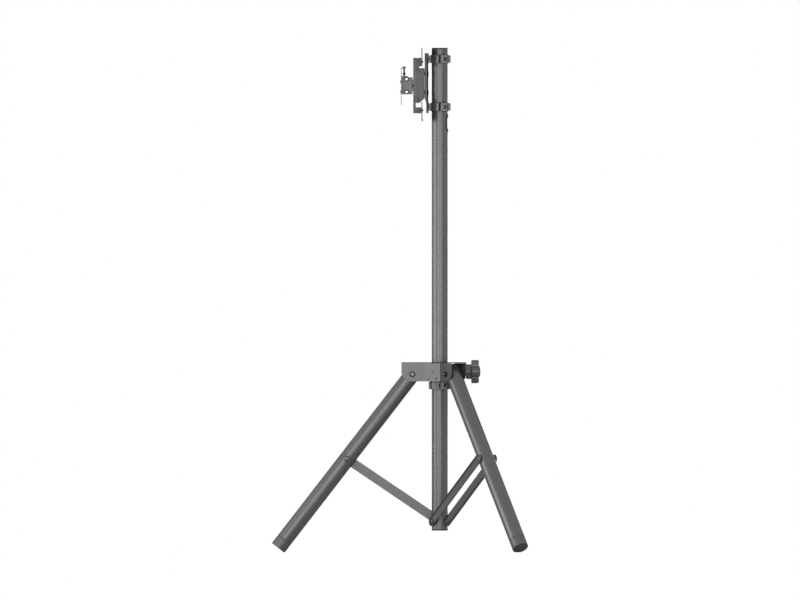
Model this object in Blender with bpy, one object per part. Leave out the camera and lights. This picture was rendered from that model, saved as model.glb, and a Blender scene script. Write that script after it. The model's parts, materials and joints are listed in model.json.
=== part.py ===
"""Display floor stand: a folding tripod with one pole and a small screen mount at its top.

Metres, Z up. X runs from the screen side (negative) to the rear, and the floor is at Z = 0. Heights are
above the floor. The stand is described from the column's axis, and one empty then shifts it so that the
origin lies under the middle of its footprint.
"""
from math import atan2, cos, degrees, pi, radians, sin, sqrt

import bmesh
import bpy
from mathutils import Matrix, Vector

# Driving sizes
GAP = 0.0003
TUBE_R = 0.025
TUBE_WALL = 0.002
SHEET = 0.002
PLATE_SHEET = 0.0025
TUBE_SIDES = 28
LEG_SIDES = 24
BOLT_SIDES = 12
HOLE_SIDES = 10

# Bolt and rivet radii
M4 = 0.002
M5 = 0.0025
M6 = 0.003
M8 = 0.004
M10 = 0.005
M12 = 0.006

# Column
COLUMN_FOOT_Z = 0.0675
COLUMN_TOP_Z = 1.569
CAP_BRIM = 0.004
CAP_PLUG = 0.016
OUTLET_Z = 1.335
OUTLET_HALF = 0.022
OUTLET_R = 0.012
GROMMET_RIM = 0.0055
GROMMET_NECK = 0.002

# Tripod
LEGS = {"front": radians(180), "rear_right": radians(-60), "rear_left": radians(60)}
LEG_ANGLE = radians(37.69)
LEG_LENGTH = 0.683
LEG_STUB = 0.022
ARM_REACH = 0.085
BRACE_ON_LEG = 0.333
BRACE_PIVOT_Z = 0.0955
BRACE_SIDE = 0.0283
BRACE_WIDTH = 0.0285
BRACE_DEPTH = 0.006
FOOT_SLEEVE = 0.033
FOOT_EDGE = 0.0012
FOOT_FLAT = 0.001

# Hub
HUB_HEIGHT = 0.0595
HUB_PLATE = 0.003
HUB_BELOW_PIVOT = 0.0224
ARM_OUTER = 0.0275
ARM_LENGTH = 0.119
ARM_CORNER_R = 0.030
FACE_DISTANCE = 0.048
FACES = {"a": radians(240), "b": radians(0), "c": radians(120)}
KNOB_ABOVE_PIVOT = 0.008
KNOB_SKIRT_X = 0.0815
KNOB_HEAD_X = 0.0979
KNOB_END_X = 0.1219
KNOB_VALLEY_R = 0.0225
KNOB_LOBE = 0.01375

# Pipe clamps
CLAMP_HEIGHT = 0.025
CLAMP_SPLIT = 0.0028
CLAMP_BORE = 0.0268
CLAMP_RING = 0.0300
CLAMP_EAR_Y = 0.040
CLAMP_EAR_X = 0.024
CLAMP_PAD_X = 0.034
CLAMP_PAD_HALF = 0.014
CLAMP_SCREW_Y = 0.0335
CLAMP_SCREW_SEAT = 0.0133
STOP_Z = 0.5193
LOWER_CLAMP_Z = 1.385
UPPER_CLAMP_Z = 1.534

# Screen mount, with X as the distance from the column's axis
POLE_PLATE_HALF = 0.022
POLE_PLATE_TOP_Z = 1.5524
POLE_PLATE_FOOT_Z = 1.3660
POLE_BOLT_Z = (1.4890, 1.4300)
CHANNEL_HALF = 0.0255
CHANNEL_REAR = -0.0472
CHANNEL_FRONT = -0.0742
BRACKET_HALF = 0.0286
BRACKET_FRONT = -0.0824
BRACKET_SPINE = -0.0744
BRACKET_TOP_Z = 1.5378
BRACKET_FOOT_Z = 1.3653
BRACKET_SCREWS = ((-0.0690, 1.5000), (-0.0690, 1.4045))
RAIL_X = -0.0568
RAIL_THICK = 0.003
RAIL_HALF = 0.105
UPPER_RAIL_SCREW_Z = 1.5250
LOWER_RAIL_SCREW_Z = 1.3745
RAIL_SCREW_Y = 0.016

# Screen head
SWIVEL_Z = 1.4517
WASHER_R = 0.018
WASHER_THICK = 0.0014
YOKE_HALF = 0.0225
YOKE_SHEET = 0.0022
YOKE_BACK = 0.0027
TILT_X = -0.103
TILT_Z = 1.4716
TILT_UP = radians(5)
TILT_DOWN = radians(10)
GUIDE_DROP = 0.0398
HEAD_FOOT_Z = 1.4243
YOKE_FRONT_X = -0.1135
YOKE_TOP_Z = 1.4777
CRADLE_TOP_Z = 1.4818
CRADLE_HALF = 0.0198
PLATE_BOLT_Z = (1.4633, 1.4321)
PLATE_SIZE = 0.115
PLATE_Z = 1.4488
PLATE_X = -0.1196
LOCK_SCREW_X = -0.1105

# Worked out from the driving sizes
FOOT_DROP = (TUBE_R - FOOT_EDGE) * sin(LEG_ANGLE) - FOOT_FLAT
PIVOT_Z = FOOT_DROP + LEG_LENGTH * cos(LEG_ANGLE)
BRACE_RUN = ARM_REACH + BRACE_ON_LEG * sin(LEG_ANGLE)
BRACE_RISE = PIVOT_Z - BRACE_ON_LEG * cos(LEG_ANGLE) - BRACE_PIVOT_Z
BRACE_LENGTH = sqrt(BRACE_RUN ** 2 + BRACE_RISE ** 2)
BRACE_ANGLE = atan2(BRACE_RISE, BRACE_RUN)
RIM_REACH = ARM_REACH + (LEG_LENGTH - FOOT_EDGE) * sin(LEG_ANGLE)
FRONT_EXTENT = RIM_REACH + TUBE_R * cos(LEG_ANGLE)
REAR_EXTENT = RIM_REACH / 2 + TUBE_R * sqrt(1 - (sin(LEG_ANGLE) / 2) ** 2)
COLUMN_X = (FRONT_EXTENT - REAR_EXTENT) / 2
HUB_FOOT = -HUB_BELOW_PIVOT
HUB_TOP = HUB_FOOT + HUB_HEIGHT
WASHER_FRONT = BRACKET_FRONT - GAP - WASHER_THICK
YOKE_REAR = WASHER_FRONT - GAP
YOKE_SEAT = YOKE_REAR - YOKE_BACK

MATERIALS = {
    "powder_coat": ((0.075, 0.077, 0.080), 0.42, 0.25),
    "black_plastic": ((0.022, 0.022, 0.024), 0.50, 0.0),
    "rubber": ((0.030, 0.030, 0.031), 0.75, 0.0),
    "dark_steel": ((0.050, 0.050, 0.052), 0.38, 0.8),
    "bright_steel": ((0.42, 0.42, 0.43), 0.32, 1.0),
}


def clear_scene():
    for obj in list(bpy.data.objects):
        bpy.data.objects.remove(obj, do_unlink=True)


def make_materials():
    made = {}
    for name, (colour, roughness, metallic) in MATERIALS.items():
        material = bpy.data.materials.new(name)
        material.use_nodes = True
        shader = material.node_tree.nodes["Principled BSDF"]
        shader.inputs["Base Color"].default_value = (*colour, 1.0)
        shader.inputs["Roughness"].default_value = roughness
        shader.inputs["Metallic"].default_value = metallic
        made[name] = material
    return made


def add_empty(name, location, rotation=(0, 0, 0), parent=None):
    empty = bpy.data.objects.new(name, None)
    empty.location = location
    empty.rotation_euler = rotation
    empty.parent = parent
    bpy.context.scene.collection.objects.link(empty)
    return empty


# Shapes
def mesh_object(name, bm):
    """A temporary object for one shape, to be carved or joined."""
    bmesh.ops.recalc_face_normals(bm, faces=bm.faces)
    mesh = bpy.data.meshes.new(name)
    bm.to_mesh(mesh)
    bm.free()
    obj = bpy.data.objects.new(name, mesh)
    bpy.context.scene.collection.objects.link(obj)
    return obj


def boolean(target, tools, operation):
    """Apply one Boolean for each tool, and delete the tools."""
    for tool in tools:
        modifier = target.modifiers.new(operation.lower(), "BOOLEAN")
        modifier.operation = operation
        modifier.object = tool
        modifier.solver = "EXACT"
        bpy.context.view_layer.update()
        graph = bpy.context.evaluated_depsgraph_get()
        mesh = bpy.data.meshes.new_from_object(target.evaluated_get(graph))
        target.modifiers.clear()
        target.data = mesh
        bpy.data.objects.remove(tool, do_unlink=True)
    return target


def cut(target, *tools):
    return boolean(target, tools, "DIFFERENCE")


def fuse(target, *tools):
    return boolean(target, tools, "UNION")


def keep_inside(target, tool):
    return boolean(target, (tool,), "INTERSECT")


def box(low, high):
    bm = bmesh.new()
    bmesh.ops.create_cube(bm, size=1.0)
    bmesh.ops.scale(bm, vec=Vector(high) - Vector(low), verts=bm.verts)
    bmesh.ops.translate(bm, vec=(Vector(high) + Vector(low)) / 2, verts=bm.verts)
    return mesh_object("box", bm)


def turned(profile, sides, axis="Z", at=(0, 0, 0)):
    """The profile's (radius, height) points turned round an axis through a point. It closes on itself."""
    bm = bmesh.new()
    rings = []
    for radius, height in profile:
        if radius == 0:
            rings.append([bm.verts.new((0, 0, height))])
            continue
        ring = []
        for i in range(sides):
            angle = 2 * pi * i / sides
            ring.append(bm.verts.new((radius * cos(angle), radius * sin(angle), height)))
        rings.append(ring)
    pairs = list(zip(rings, rings[1:]))
    if profile[0][0] > 0:
        pairs.append((rings[-1], rings[0]))
    for first, second in pairs:
        for i in range(sides):
            j = (i + 1) % sides
            if len(first) == 1:
                bm.faces.new((first[0], second[j], second[i]))
            elif len(second) == 1:
                bm.faces.new((first[i], first[j], second[0]))
            else:
                bm.faces.new((first[i], first[j], second[j], second[i]))
    turn = {"Z": Matrix(), "X": Matrix.Rotation(pi / 2, 4, "Y"), "Y": Matrix.Rotation(-pi / 2, 4, "X")}
    bmesh.ops.transform(bm, matrix=Matrix.Translation(at) @ turn[axis], verts=bm.verts)
    return mesh_object("turned", bm)


def rod(radius, start, end, sides, axis="Z", at=(0, 0, 0)):
    """A solid cylinder between two heights along an axis through a point."""
    return turned([(0, start), (radius, start), (radius, end), (0, end)], sides, axis, at)


def pipe(outer, inner, start, end, sides, axis="Z"):
    return turned([(outer, start), (outer, end), (inner, end), (inner, start)], sides, axis)


def hole(radius, start, end, axis, at=(0, 0, 0), sides=HOLE_SIDES):
    """A tool that bores a clearance hole for a bolt of this radius."""
    return rod(radius + GAP, start, end, sides, axis, at)


def prism(outline, start, end, axis="Z"):
    """A flat outline pushed along an axis. Its points are (x, y) for Z, (x, z) for Y and (y, z) for X."""
    bm = bmesh.new()
    place = {
        "Z": lambda a, b, c: (a, b, c),
        "Y": lambda a, b, c: (a, c, b),
        "X": lambda a, b, c: (c, a, b),
    }[axis]
    lower = [bm.verts.new(place(a, b, start)) for a, b in outline]
    upper = [bm.verts.new(place(a, b, end)) for a, b in outline]
    bm.faces.new(lower)
    bm.faces.new(upper)
    count = len(outline)
    for i in range(count):
        j = (i + 1) % count
        bm.faces.new((lower[i], lower[j], upper[j], upper[i]))
    return mesh_object("prism", bm)


def arc(centre, radius, start, end, steps):
    """Points along an arc, angles in degrees."""
    points = []
    for i in range(steps + 1):
        angle = radians(start + (end - start) * i / steps)
        points.append((centre[0] + radius * cos(angle), centre[1] + radius * sin(angle)))
    return points


def stadium(half_width, half_height, centre=(0, 0), steps=5):
    """A slot outline with round ends, taller than it is wide."""
    x, y = centre
    straight = half_height - half_width
    upper = arc((x, y + straight), half_width, 0, 180, steps)
    lower = arc((x, y - straight), half_width, 180, 360, steps)
    return upper + lower


def hexagon(across_flats, centre=(0, 0)):
    return arc(centre, across_flats / sqrt(3), 0, 300, 5)


def moved(obj, matrix):
    obj.data.transform(matrix)
    return obj


def around(azimuth):
    return Matrix.Rotation(azimuth, 4, "Z")


def mirrored(obj):
    """The same shape on the other side of the XZ plane."""
    moved(obj, Matrix.Scale(-1, 4, (0, 1, 0)))
    obj.data.flip_normals()
    return obj


def cap_screw(shank_r, head_r, head, length, at):
    """A cheese-headed screw along X: its head starts at the point and goes back, its shank goes forward."""
    profile = [(0, -head), (head_r, -head), (head_r, 0), (shank_r, 0), (shank_r, length), (0, length)]
    return turned(profile, BOLT_SIDES, "X", at)


def finish(obj, name, material, parent, smooth=True):
    """Name a finished shape, give it its material and hang it from its parent."""
    obj.name = name
    obj.data.name = name
    obj.data.materials.clear()
    obj.data.materials.append(material)
    if smooth:
        obj.data.shade_smooth()
        obj.data.set_sharp_from_angle(angle=radians(35))
    obj.parent = parent
    return obj


# Column
def build_column(mats, stand):
    tube_foot = COLUMN_FOOT_Z + CAP_BRIM
    tube_top = COLUMN_TOP_Z - CAP_BRIM
    inside, outside = TUBE_R / 2, TUBE_R * 1.5
    tube = pipe(TUBE_R, TUBE_R - TUBE_WALL, tube_foot, tube_top, TUBE_SIDES)
    neck = GROMMET_NECK + GAP
    cut(tube, prism(stadium(OUTLET_R + neck, OUTLET_HALF + neck, (0, OUTLET_Z)), inside, outside, "X"))
    for azimuth in LEGS.values():
        bore = hole(M8, inside, outside, "X", (0, 0, BRACE_PIVOT_Z))
        cut(tube, moved(bore, around(azimuth - pi / 2)))
    finish(tube, "column_tube", mats["powder_coat"], stand)

    plug_r = TUBE_R - TUBE_WALL - GAP
    plug_wall, edge = 0.002, 0.001
    for name, seat, way in (("column_bottom_cap", tube_foot, 1), ("column_top_cap", tube_top, -1)):
        brim_in = seat - way * GAP
        brim_out = seat - way * CAP_BRIM
        plug_end = seat + way * CAP_PLUG
        profile = [(0, brim_out), (TUBE_R - edge, brim_out), (TUBE_R, brim_out + way * edge),
                   (TUBE_R, brim_in), (plug_r, brim_in), (plug_r, plug_end),
                   (plug_r - plug_wall, plug_end), (plug_r - plug_wall, brim_in), (0, brim_in)]
        finish(turned(profile, TUBE_SIDES), name, mats["black_plastic"], stand)

    rim_skin, lip_skin, depth, reach = 0.0018, 0.001, 0.004, 0.04
    foot, top = OUTLET_Z - reach, OUTLET_Z + reach
    flange = pipe(TUBE_R + rim_skin, TUBE_R + GAP, foot, top, TUBE_SIDES)
    keep_inside(flange, prism(stadium(OUTLET_R + GROMMET_RIM, OUTLET_HALF + GROMMET_RIM, (0, OUTLET_Z)),
                              inside, outside, "X"))
    lip = pipe(TUBE_R + lip_skin, TUBE_R - depth, foot, top, TUBE_SIDES)
    keep_inside(lip, prism(stadium(OUTLET_R + GROMMET_NECK, OUTLET_HALF + GROMMET_NECK, (0, OUTLET_Z)),
                           inside, outside, "X"))
    fuse(flange, lip)
    cut(flange, prism(stadium(OUTLET_R, OUTLET_HALF, (0, OUTLET_Z)), 0, outside, "X"))
    finish(flange, "cable_grommet", mats["black_plastic"], stand)

    build_brace_pivot_bolts(mats, stand)


def build_brace_pivot_bolts(mats, stand):
    """Each bolt goes through the tube's wall and the brace, with its nut inside the tube."""
    nut_in, nut_out, nut_r = 0.017, 0.0205, 0.0075
    seat = BRACE_SIDE - BRACE_DEPTH / 2 + PLATE_SHEET + GAP
    head_r, head = 0.0085, 0.0045
    for name, azimuth in LEGS.items():
        profile = [(0, nut_in), (nut_r, nut_in), (nut_r, nut_out), (M8, nut_out), (M8, seat), (head_r, seat),
                   (head_r, seat + head / 2), (head_r * 0.6, seat + head), (0, seat + head)]
        bolt = turned(profile, BOLT_SIDES, "X", (0, 0, BRACE_PIVOT_Z))
        finish(moved(bolt, around(azimuth - pi / 2)), f"{name}_brace_pivot_bolt", mats["bright_steel"], stand)


# Pipe clamps
def clamp_half(height, side, bore):
    """One half of a split clamp. Side is -1 for the front half and 1 for the rear half."""
    half = CLAMP_HEIGHT / 2
    foot, top = height - half, height + half
    below, above = foot - 0.01, top + 0.01
    ring = pipe(CLAMP_RING, bore, foot, top, TUBE_SIDES)
    ears = box((side * CLAMP_SPLIT, -CLAMP_EAR_Y, foot), (side * CLAMP_EAR_X, CLAMP_EAR_Y, top))
    pad_half = half - 0.0012
    pad = box((side * 0.020, -CLAMP_PAD_HALF, height - pad_half),
              (side * CLAMP_PAD_X, CLAMP_PAD_HALF, height + pad_half))
    for block in (ears, pad):
        cut(block, rod(bore + 0.001, below, above, TUBE_SIDES))
    cut(ring, box((-side * 0.05, -0.06, below), (side * CLAMP_SPLIT, 0.06, above)))
    fuse(ring, ears, pad)
    for way in (-1, 1):
        y = way * CLAMP_SCREW_Y
        if side > 0:
            pocket_half = 0.0065
            inner, outer = sorted((y - way * 0.0055, way * 0.060))
            cut(ring, box((CLAMP_SCREW_SEAT - GAP, inner, height - pocket_half),
                          (CLAMP_EAR_X - 0.0015, outer, height + pocket_half)))
        else:
            corner = prism([(-0.012, 0.060), (-0.012, CLAMP_EAR_Y), (-0.030, 0.0275), (-0.060, 0.0275),
                            (-0.060, 0.060)], below, above)
            cut(ring, corner if way > 0 else mirrored(corner))
        cut(ring, hole(M6, -0.0145, 0.020, "X", (0, y, height)))
    return ring


def build_clamp_screws(prefix, height, material, parent):
    head_r, head, length = 0.005, 0.0055, 0.0270
    for side, y in (("right", -CLAMP_SCREW_Y), ("left", CLAMP_SCREW_Y)):
        screw = cap_screw(M6, head_r, head, length, (0, 0, 0))
        moved(screw, Matrix.Translation((CLAMP_SCREW_SEAT, y, height)) @ around(pi))
        finish(screw, f"{prefix}_screw_{side}", material, parent)


def clamp_liner(height):
    """A slit rubber sleeve that shows as a thin rim above and below its clamp."""
    half = CLAMP_HEIGHT / 2 + 0.001
    slit = 0.0012
    ring = pipe(CLAMP_BORE - GAP, TUBE_R + GAP, height - half, height + half, TUBE_SIDES)
    cut(ring, box((-slit, 0, height - CLAMP_HEIGHT), (slit, 0.06, height + CLAMP_HEIGHT)))
    return ring


def build_stop_collar(mats, stand):
    coat = mats["powder_coat"]
    finish(clamp_half(STOP_Z, -1, TUBE_R + GAP), "stop_collar_front", coat, stand)
    finish(clamp_half(STOP_Z, 1, TUBE_R + GAP), "stop_collar_rear", coat, stand)
    build_clamp_screws("stop_collar", STOP_Z, mats["dark_steel"], stand)


# Hub, in the frame of the hub's empty: on the column's axis at the height of the leg pivots
def arm_root(side_offset, distance):
    """How far from the column's axis an arm's side wall meets a face of the hub."""
    return (distance - side_offset * sin(radians(60))) / cos(radians(60))


def hub_side_outline():
    """Plan of one side plate: a flat face square to +X with an arm wall bent back on each side of it."""
    points = []
    for distance, side_offset in ((FACE_DISTANCE, ARM_OUTER), (FACE_DISTANCE - SHEET, ARM_OUTER - SHEET)):
        corner_y = arm_root(side_offset, distance) * sin(radians(60)) - side_offset * cos(radians(60))
        end_x = ARM_LENGTH * cos(radians(60)) + side_offset * sin(radians(60))
        end_y = ARM_LENGTH * sin(radians(60)) - side_offset * cos(radians(60))
        points.append([(end_x, end_y), (distance, corner_y), (distance, -corner_y), (end_x, -end_y)])
    return points[0] + points[1][::-1]


def hub_top_outline():
    """Plan of the top plate: three arms."""
    root = arm_root(ARM_OUTER, FACE_DISTANCE)
    corners = [(root, -ARM_OUTER), (ARM_LENGTH, -ARM_OUTER), (ARM_LENGTH, ARM_OUTER), (root, ARM_OUTER)]
    outline = []
    for azimuth in (-60, 60, 180):
        turn = Matrix.Rotation(radians(azimuth), 2)
        outline += [tuple(turn @ Vector(corner)) for corner in corners]
    return outline


def build_hub_side_plates(coat, hub):
    plate = prism(hub_side_outline(), HUB_FOOT, HUB_TOP - HUB_PLATE - GAP)
    past, below = ARM_LENGTH + 0.001, HUB_FOOT - 0.001
    corner = [(past, below), (past, HUB_FOOT + ARM_CORNER_R)]
    corner += arc((ARM_LENGTH - ARM_CORNER_R, HUB_FOOT + ARM_CORNER_R), ARM_CORNER_R, 0, -90, 6)
    corner += [(ARM_LENGTH - ARM_CORNER_R, below)]
    for arm in (-60, 60):
        turn = around(radians(arm))
        cut(plate, moved(prism(corner, -0.040, 0.040, "Y"), turn))
        bore = hole(M8, 0, 0.040, "Y", (ARM_REACH, 0, 0))
        cut(plate, moved(bore if arm < 0 else mirrored(bore), turn))
    face_in, face_out = FACE_DISTANCE - 0.01, FACE_DISTANCE + 0.01
    cut(plate, hole(M12, face_in, face_out, "X", (0, 0, KNOB_ABOVE_PIVOT), 12))
    rivet_spread, rivet_rise = 0.016, 0.0095
    for y in (-rivet_spread, rivet_spread):
        cut(plate, hole(M5, face_in, face_out, "X", (0, y, HUB_FOOT + rivet_rise), 8))
    for name, azimuth in FACES.items():
        copy = bpy.data.objects.new("hub_side_plate", plate.data.copy())
        bpy.context.scene.collection.objects.link(copy)
        finish(moved(copy, around(azimuth)), f"hub_side_plate_{name}", coat, hub)
    bpy.data.objects.remove(plate, do_unlink=True)


def build_hub(mats, hub):
    coat = mats["powder_coat"]
    build_hub_side_plates(coat, hub)
    top_plate = prism(hub_top_outline(), HUB_TOP - HUB_PLATE, HUB_TOP)
    cut(top_plate, rod(TUBE_R + 2 * GAP, HUB_TOP - 0.01, HUB_TOP + 0.01, TUBE_SIDES))
    finish(top_plate, "hub_top_plate", coat, hub)

    bush_top = HUB_TOP - HUB_PLATE - GAP
    bush_foot = STOP_Z + CLAMP_HEIGHT / 2 + 0.0013 - PIVOT_Z
    bush_r, flange_r, flange = 0.0295, 0.0320, 0.003
    profile = [(bush_r, bush_top), (TUBE_R + GAP, bush_top), (TUBE_R + GAP, bush_foot), (flange_r, bush_foot),
               (flange_r, bush_foot + flange), (bush_r, bush_foot + flange)]
    bush = turned(profile, TUBE_SIDES)
    cut(bush, rod(0.0086, 0.015, 0.060, 14, "X", (0, 0, KNOB_ABOVE_PIVOT)))
    finish(bush, "hub_guide_bush", mats["black_plastic"], hub)

    seat = ARM_OUTER + GAP
    washer_r, washer, head_r, nut, head = 0.0092, 0.0018, 0.0068, 0.0070, 0.0055
    for name, azimuth in LEGS.items():
        profile = [(0, -seat - nut), (head_r, -seat - nut), (head_r, -seat - washer), (washer_r, -seat - washer),
                   (washer_r, -seat), (M8, -seat), (M8, seat), (washer_r, seat), (washer_r, seat + washer),
                   (head_r, seat + washer), (head_r, seat + head), (0, seat + head)]
        bolt = turned(profile, BOLT_SIDES, "Y", (ARM_REACH, 0, 0))
        finish(moved(bolt, around(azimuth)), f"{name}_leg_pivot_bolt", mats["bright_steel"], hub)

    nut_width, nut_depth = 0.022, 0.010
    nut = prism(hexagon(nut_width, (0, KNOB_ABOVE_PIVOT)), FACE_DISTANCE + GAP,
                FACE_DISTANCE + GAP + nut_depth, "X")
    cut(nut, hole(M12, 0.03, 0.07, "X", (0, 0, KNOB_ABOVE_PIVOT), 12))
    finish(nut, "clamp_nut", mats["dark_steel"], hub, smooth=False)


# Hub clamp, in frames with their origin on the column's axis at the knob's height
def build_clamp(mats, pad_empty, knob_empty):
    pad_r, pad_end = 0.008, 0.0325
    pad = rod(pad_r, 0.018, pad_end, BOLT_SIDES, "X")
    cut(pad, rod(TUBE_R + GAP, -0.02, 0.02, TUBE_SIDES))
    finish(pad, "clamp_pad", mats["rubber"], pad_empty)

    stud_end = KNOB_END_X - 0.007
    finish(rod(M12, pad_end + GAP, stud_end, BOLT_SIDES, "X"), "clamp_stud", mats["bright_steel"], knob_empty)

    steps, lobes = 32, 4
    outline = []
    for i in range(steps):
        angle = 2 * pi * i / steps
        swell = (1 + cos(lobes * angle)) / 2
        radius = KNOB_VALLEY_R + KNOB_LOBE * swell ** 0.62
        outline.append((radius * cos(angle), radius * sin(angle)))
    head = prism(outline, KNOB_HEAD_X, KNOB_END_X, "X")
    skirt_r, edge, sunk = 0.0230, 0.001, 0.003
    skirt = turned([(0, KNOB_SKIRT_X), (skirt_r - edge, KNOB_SKIRT_X), (skirt_r, KNOB_SKIRT_X + edge),
                    (skirt_r, KNOB_HEAD_X + sunk), (0, KNOB_HEAD_X + sunk)], LEG_SIDES, "X")
    fuse(head, skirt)
    cut(head, hole(M12, KNOB_SKIRT_X - 0.01, stud_end + GAP, "X", sides=12))
    crown_r, crown = 0.0170, 0.0051
    dome = turned([(0, KNOB_END_X - sunk), (crown_r, KNOB_END_X - sunk), (crown_r, KNOB_END_X + crown * 0.25),
                   (crown_r * 0.6, KNOB_END_X + crown * 0.75), (0, KNOB_END_X + crown)], 20, "X")
    fuse(head, dome)
    finish(head, "knob_head", mats["black_plastic"], knob_empty)


# Legs, each in its own frame: its pivot at the origin, the pivot's axis along X, the foot down along -Z
def build_leg(mats, leg, name):
    foot_end = -LEG_LENGTH
    tube_end = foot_end + 0.004
    sleeve_top = foot_end + FOOT_SLEEVE
    thin = TUBE_R - FOOT_EDGE
    profile = [(TUBE_R, LEG_STUB), (TUBE_R - TUBE_WALL, LEG_STUB), (TUBE_R - TUBE_WALL, tube_end),
               (thin, tube_end), (thin, sleeve_top + GAP), (TUBE_R, sleeve_top + FOOT_EDGE + GAP)]
    tube = turned(profile, LEG_SIDES)
    for height in (0, -BRACE_ON_LEG):
        cut(tube, hole(M8, -0.03, 0.03, "X", (0, 0, height)))
    finish(tube, f"{name}_leg_tube", mats["powder_coat"], leg)

    cap = turned([(0, foot_end), (TUBE_R - FOOT_EDGE, foot_end), (TUBE_R, foot_end + FOOT_EDGE),
                  (TUBE_R, sleeve_top), (thin + GAP, sleeve_top), (thin + GAP, tube_end - GAP),
                  (0, tube_end - GAP)], LEG_SIDES)
    floor = box((-0.05, -0.05, -0.05), (0.05, 0.05, 0))
    foot_place = Matrix.Translation((0, -LEG_LENGTH * sin(LEG_ANGLE), -PIVOT_Z))
    cut(cap, moved(floor, Matrix.Rotation(LEG_ANGLE, 4, "X") @ foot_place))
    finish(cap, f"{name}_foot_cap", mats["rubber"], leg)

    seat = TUBE_R + GAP
    head_r, dome, socket_r, socket = 0.0100, 0.0078, 0.0034, 0.0045
    bolt = turned([(0, -TUBE_R), (M8, -TUBE_R), (M8, seat), (head_r, seat), (head_r, seat + dome * 0.35),
                   (head_r * 0.80, seat + dome * 0.75), (head_r * 0.5, seat + dome), (socket_r, seat + dome),
                   (socket_r, seat + dome - socket), (0, seat + dome - socket)], BOLT_SIDES, "X",
                  (0, 0, -BRACE_ON_LEG))
    finish(bolt, f"{name}_brace_bolt", mats["dark_steel"], leg)


# Braces, each in its own frame: its pivot on the column's axis, the pivot's axis along X, the bar up Z
def build_brace(mats, brace, name):
    half, middle = BRACE_WIDTH / 2, BRACE_LENGTH / 2
    near = -(BRACE_SIDE - BRACE_DEPTH / 2)
    far = near - BRACE_DEPTH
    bar = prism(stadium(half, middle + half, (0, middle)), far, near, "X")
    cut(bar, prism(stadium(half - SHEET, middle + half - SHEET, (0, middle)), far - 0.01, near - PLATE_SHEET, "X"))
    for height in (0, BRACE_LENGTH):
        cut(bar, hole(M8, -0.05, 0, "X", (0, 0, height)))
    finish(bar, f"{name}_brace", mats["powder_coat"], brace)


# Screen mount
def build_liners(mats, liners):
    finish(clamp_liner(UPPER_CLAMP_Z), "upper_clamp_liner", mats["rubber"], liners)
    finish(clamp_liner(LOWER_CLAMP_Z), "lower_clamp_liner", mats["rubber"], liners)


def build_pole_clamps(mats, mount):
    pad_face = -CLAMP_PAD_X - GAP
    head_r, head, length = 0.0055, 0.0033, 0.0085
    for name, height in (("upper", UPPER_CLAMP_Z), ("lower", LOWER_CLAMP_Z)):
        front = clamp_half(height, -1, CLAMP_BORE)
        cut(front, hole(M6, -0.050, -0.028, "X", (0, 0, height)))
        finish(front, f"{name}_clamp_front", mats["powder_coat"], mount)
        finish(clamp_half(height, 1, CLAMP_BORE), f"{name}_clamp_rear", mats["powder_coat"], mount)
        build_clamp_screws(f"{name}_clamp", height, mats["dark_steel"], mount)
        screw = cap_screw(M6, head_r, head, length, (pad_face - PLATE_SHEET - GAP, 0, height))
        finish(screw, f"{name}_pole_plate_screw", mats["bright_steel"], mount)


def build_pole_plate(mats, mount):
    """A shallow channel that stands on both clamps and steps forward between them."""
    top, foot = POLE_PLATE_TOP_Z, POLE_PLATE_FOOT_Z
    pad_face, step_face = -CLAMP_PAD_X - GAP, -0.0380
    step_top, step_foot = 1.5130, 1.4130
    slope_top, slope_foot = 1.5206, 1.3970
    rear = [(pad_face, top), (pad_face, slope_top), (step_face, step_top), (step_face, step_foot),
            (pad_face, slope_foot), (pad_face, foot)]
    flange_deep, flange_shallow = -0.0466, -0.0417
    fore = [(flange_shallow, foot), (flange_shallow, slope_foot), (flange_deep, step_foot), (flange_deep, top)]
    plate = prism(rear + fore, -POLE_PLATE_HALF, POLE_PLATE_HALF, "Y")
    past = 0.01
    hollow = [(x - PLATE_SHEET, z) for x, z in rear]
    hollow[0] = (hollow[0][0], top + past)
    hollow[-1] = (hollow[-1][0], foot - past)
    hollow += [(-0.070, foot - past), (-0.070, top + past)]
    inner = POLE_PLATE_HALF - PLATE_SHEET
    cut(plate, prism(hollow, -inner, inner, "Y"))
    for height in (UPPER_CLAMP_Z, LOWER_CLAMP_Z):
        cut(plate, hole(M6, -0.050, -0.030, "X", (0, 0, height)))
    for height in POLE_BOLT_Z:
        cut(plate, hole(M8, -0.050, -0.030, "X", (0, 0, height)))
    finish(plate, "pole_plate", mats["powder_coat"], mount, smooth=False)


def build_channel(mats, mount):
    """Open to the front, with its lower end cut back at a slope."""
    top, foot, slope_top, slope_x = 1.5059, 1.3975, 1.4124, -0.0640
    walls = [(CHANNEL_REAR, top), (CHANNEL_FRONT, top), (CHANNEL_FRONT, foot), (slope_x, foot),
             (CHANNEL_REAR, slope_top)]
    channel = prism(walls, -CHANNEL_HALF, CHANNEL_HALF, "Y")
    inner = CHANNEL_HALF - PLATE_SHEET
    cut(channel, box((-0.10, -inner, 1.30), (CHANNEL_REAR - PLATE_SHEET, inner, 1.60)))
    for height in POLE_BOLT_Z:
        cut(channel, hole(M8, -0.060, -0.040, "X", (0, 0, height)))
    for x, z in BRACKET_SCREWS:
        cut(channel, hole(M5, -0.05, 0.05, "Y", (x, 0, z)))
    finish(channel, "mount_channel", mats["powder_coat"], mount, smooth=False)


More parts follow.
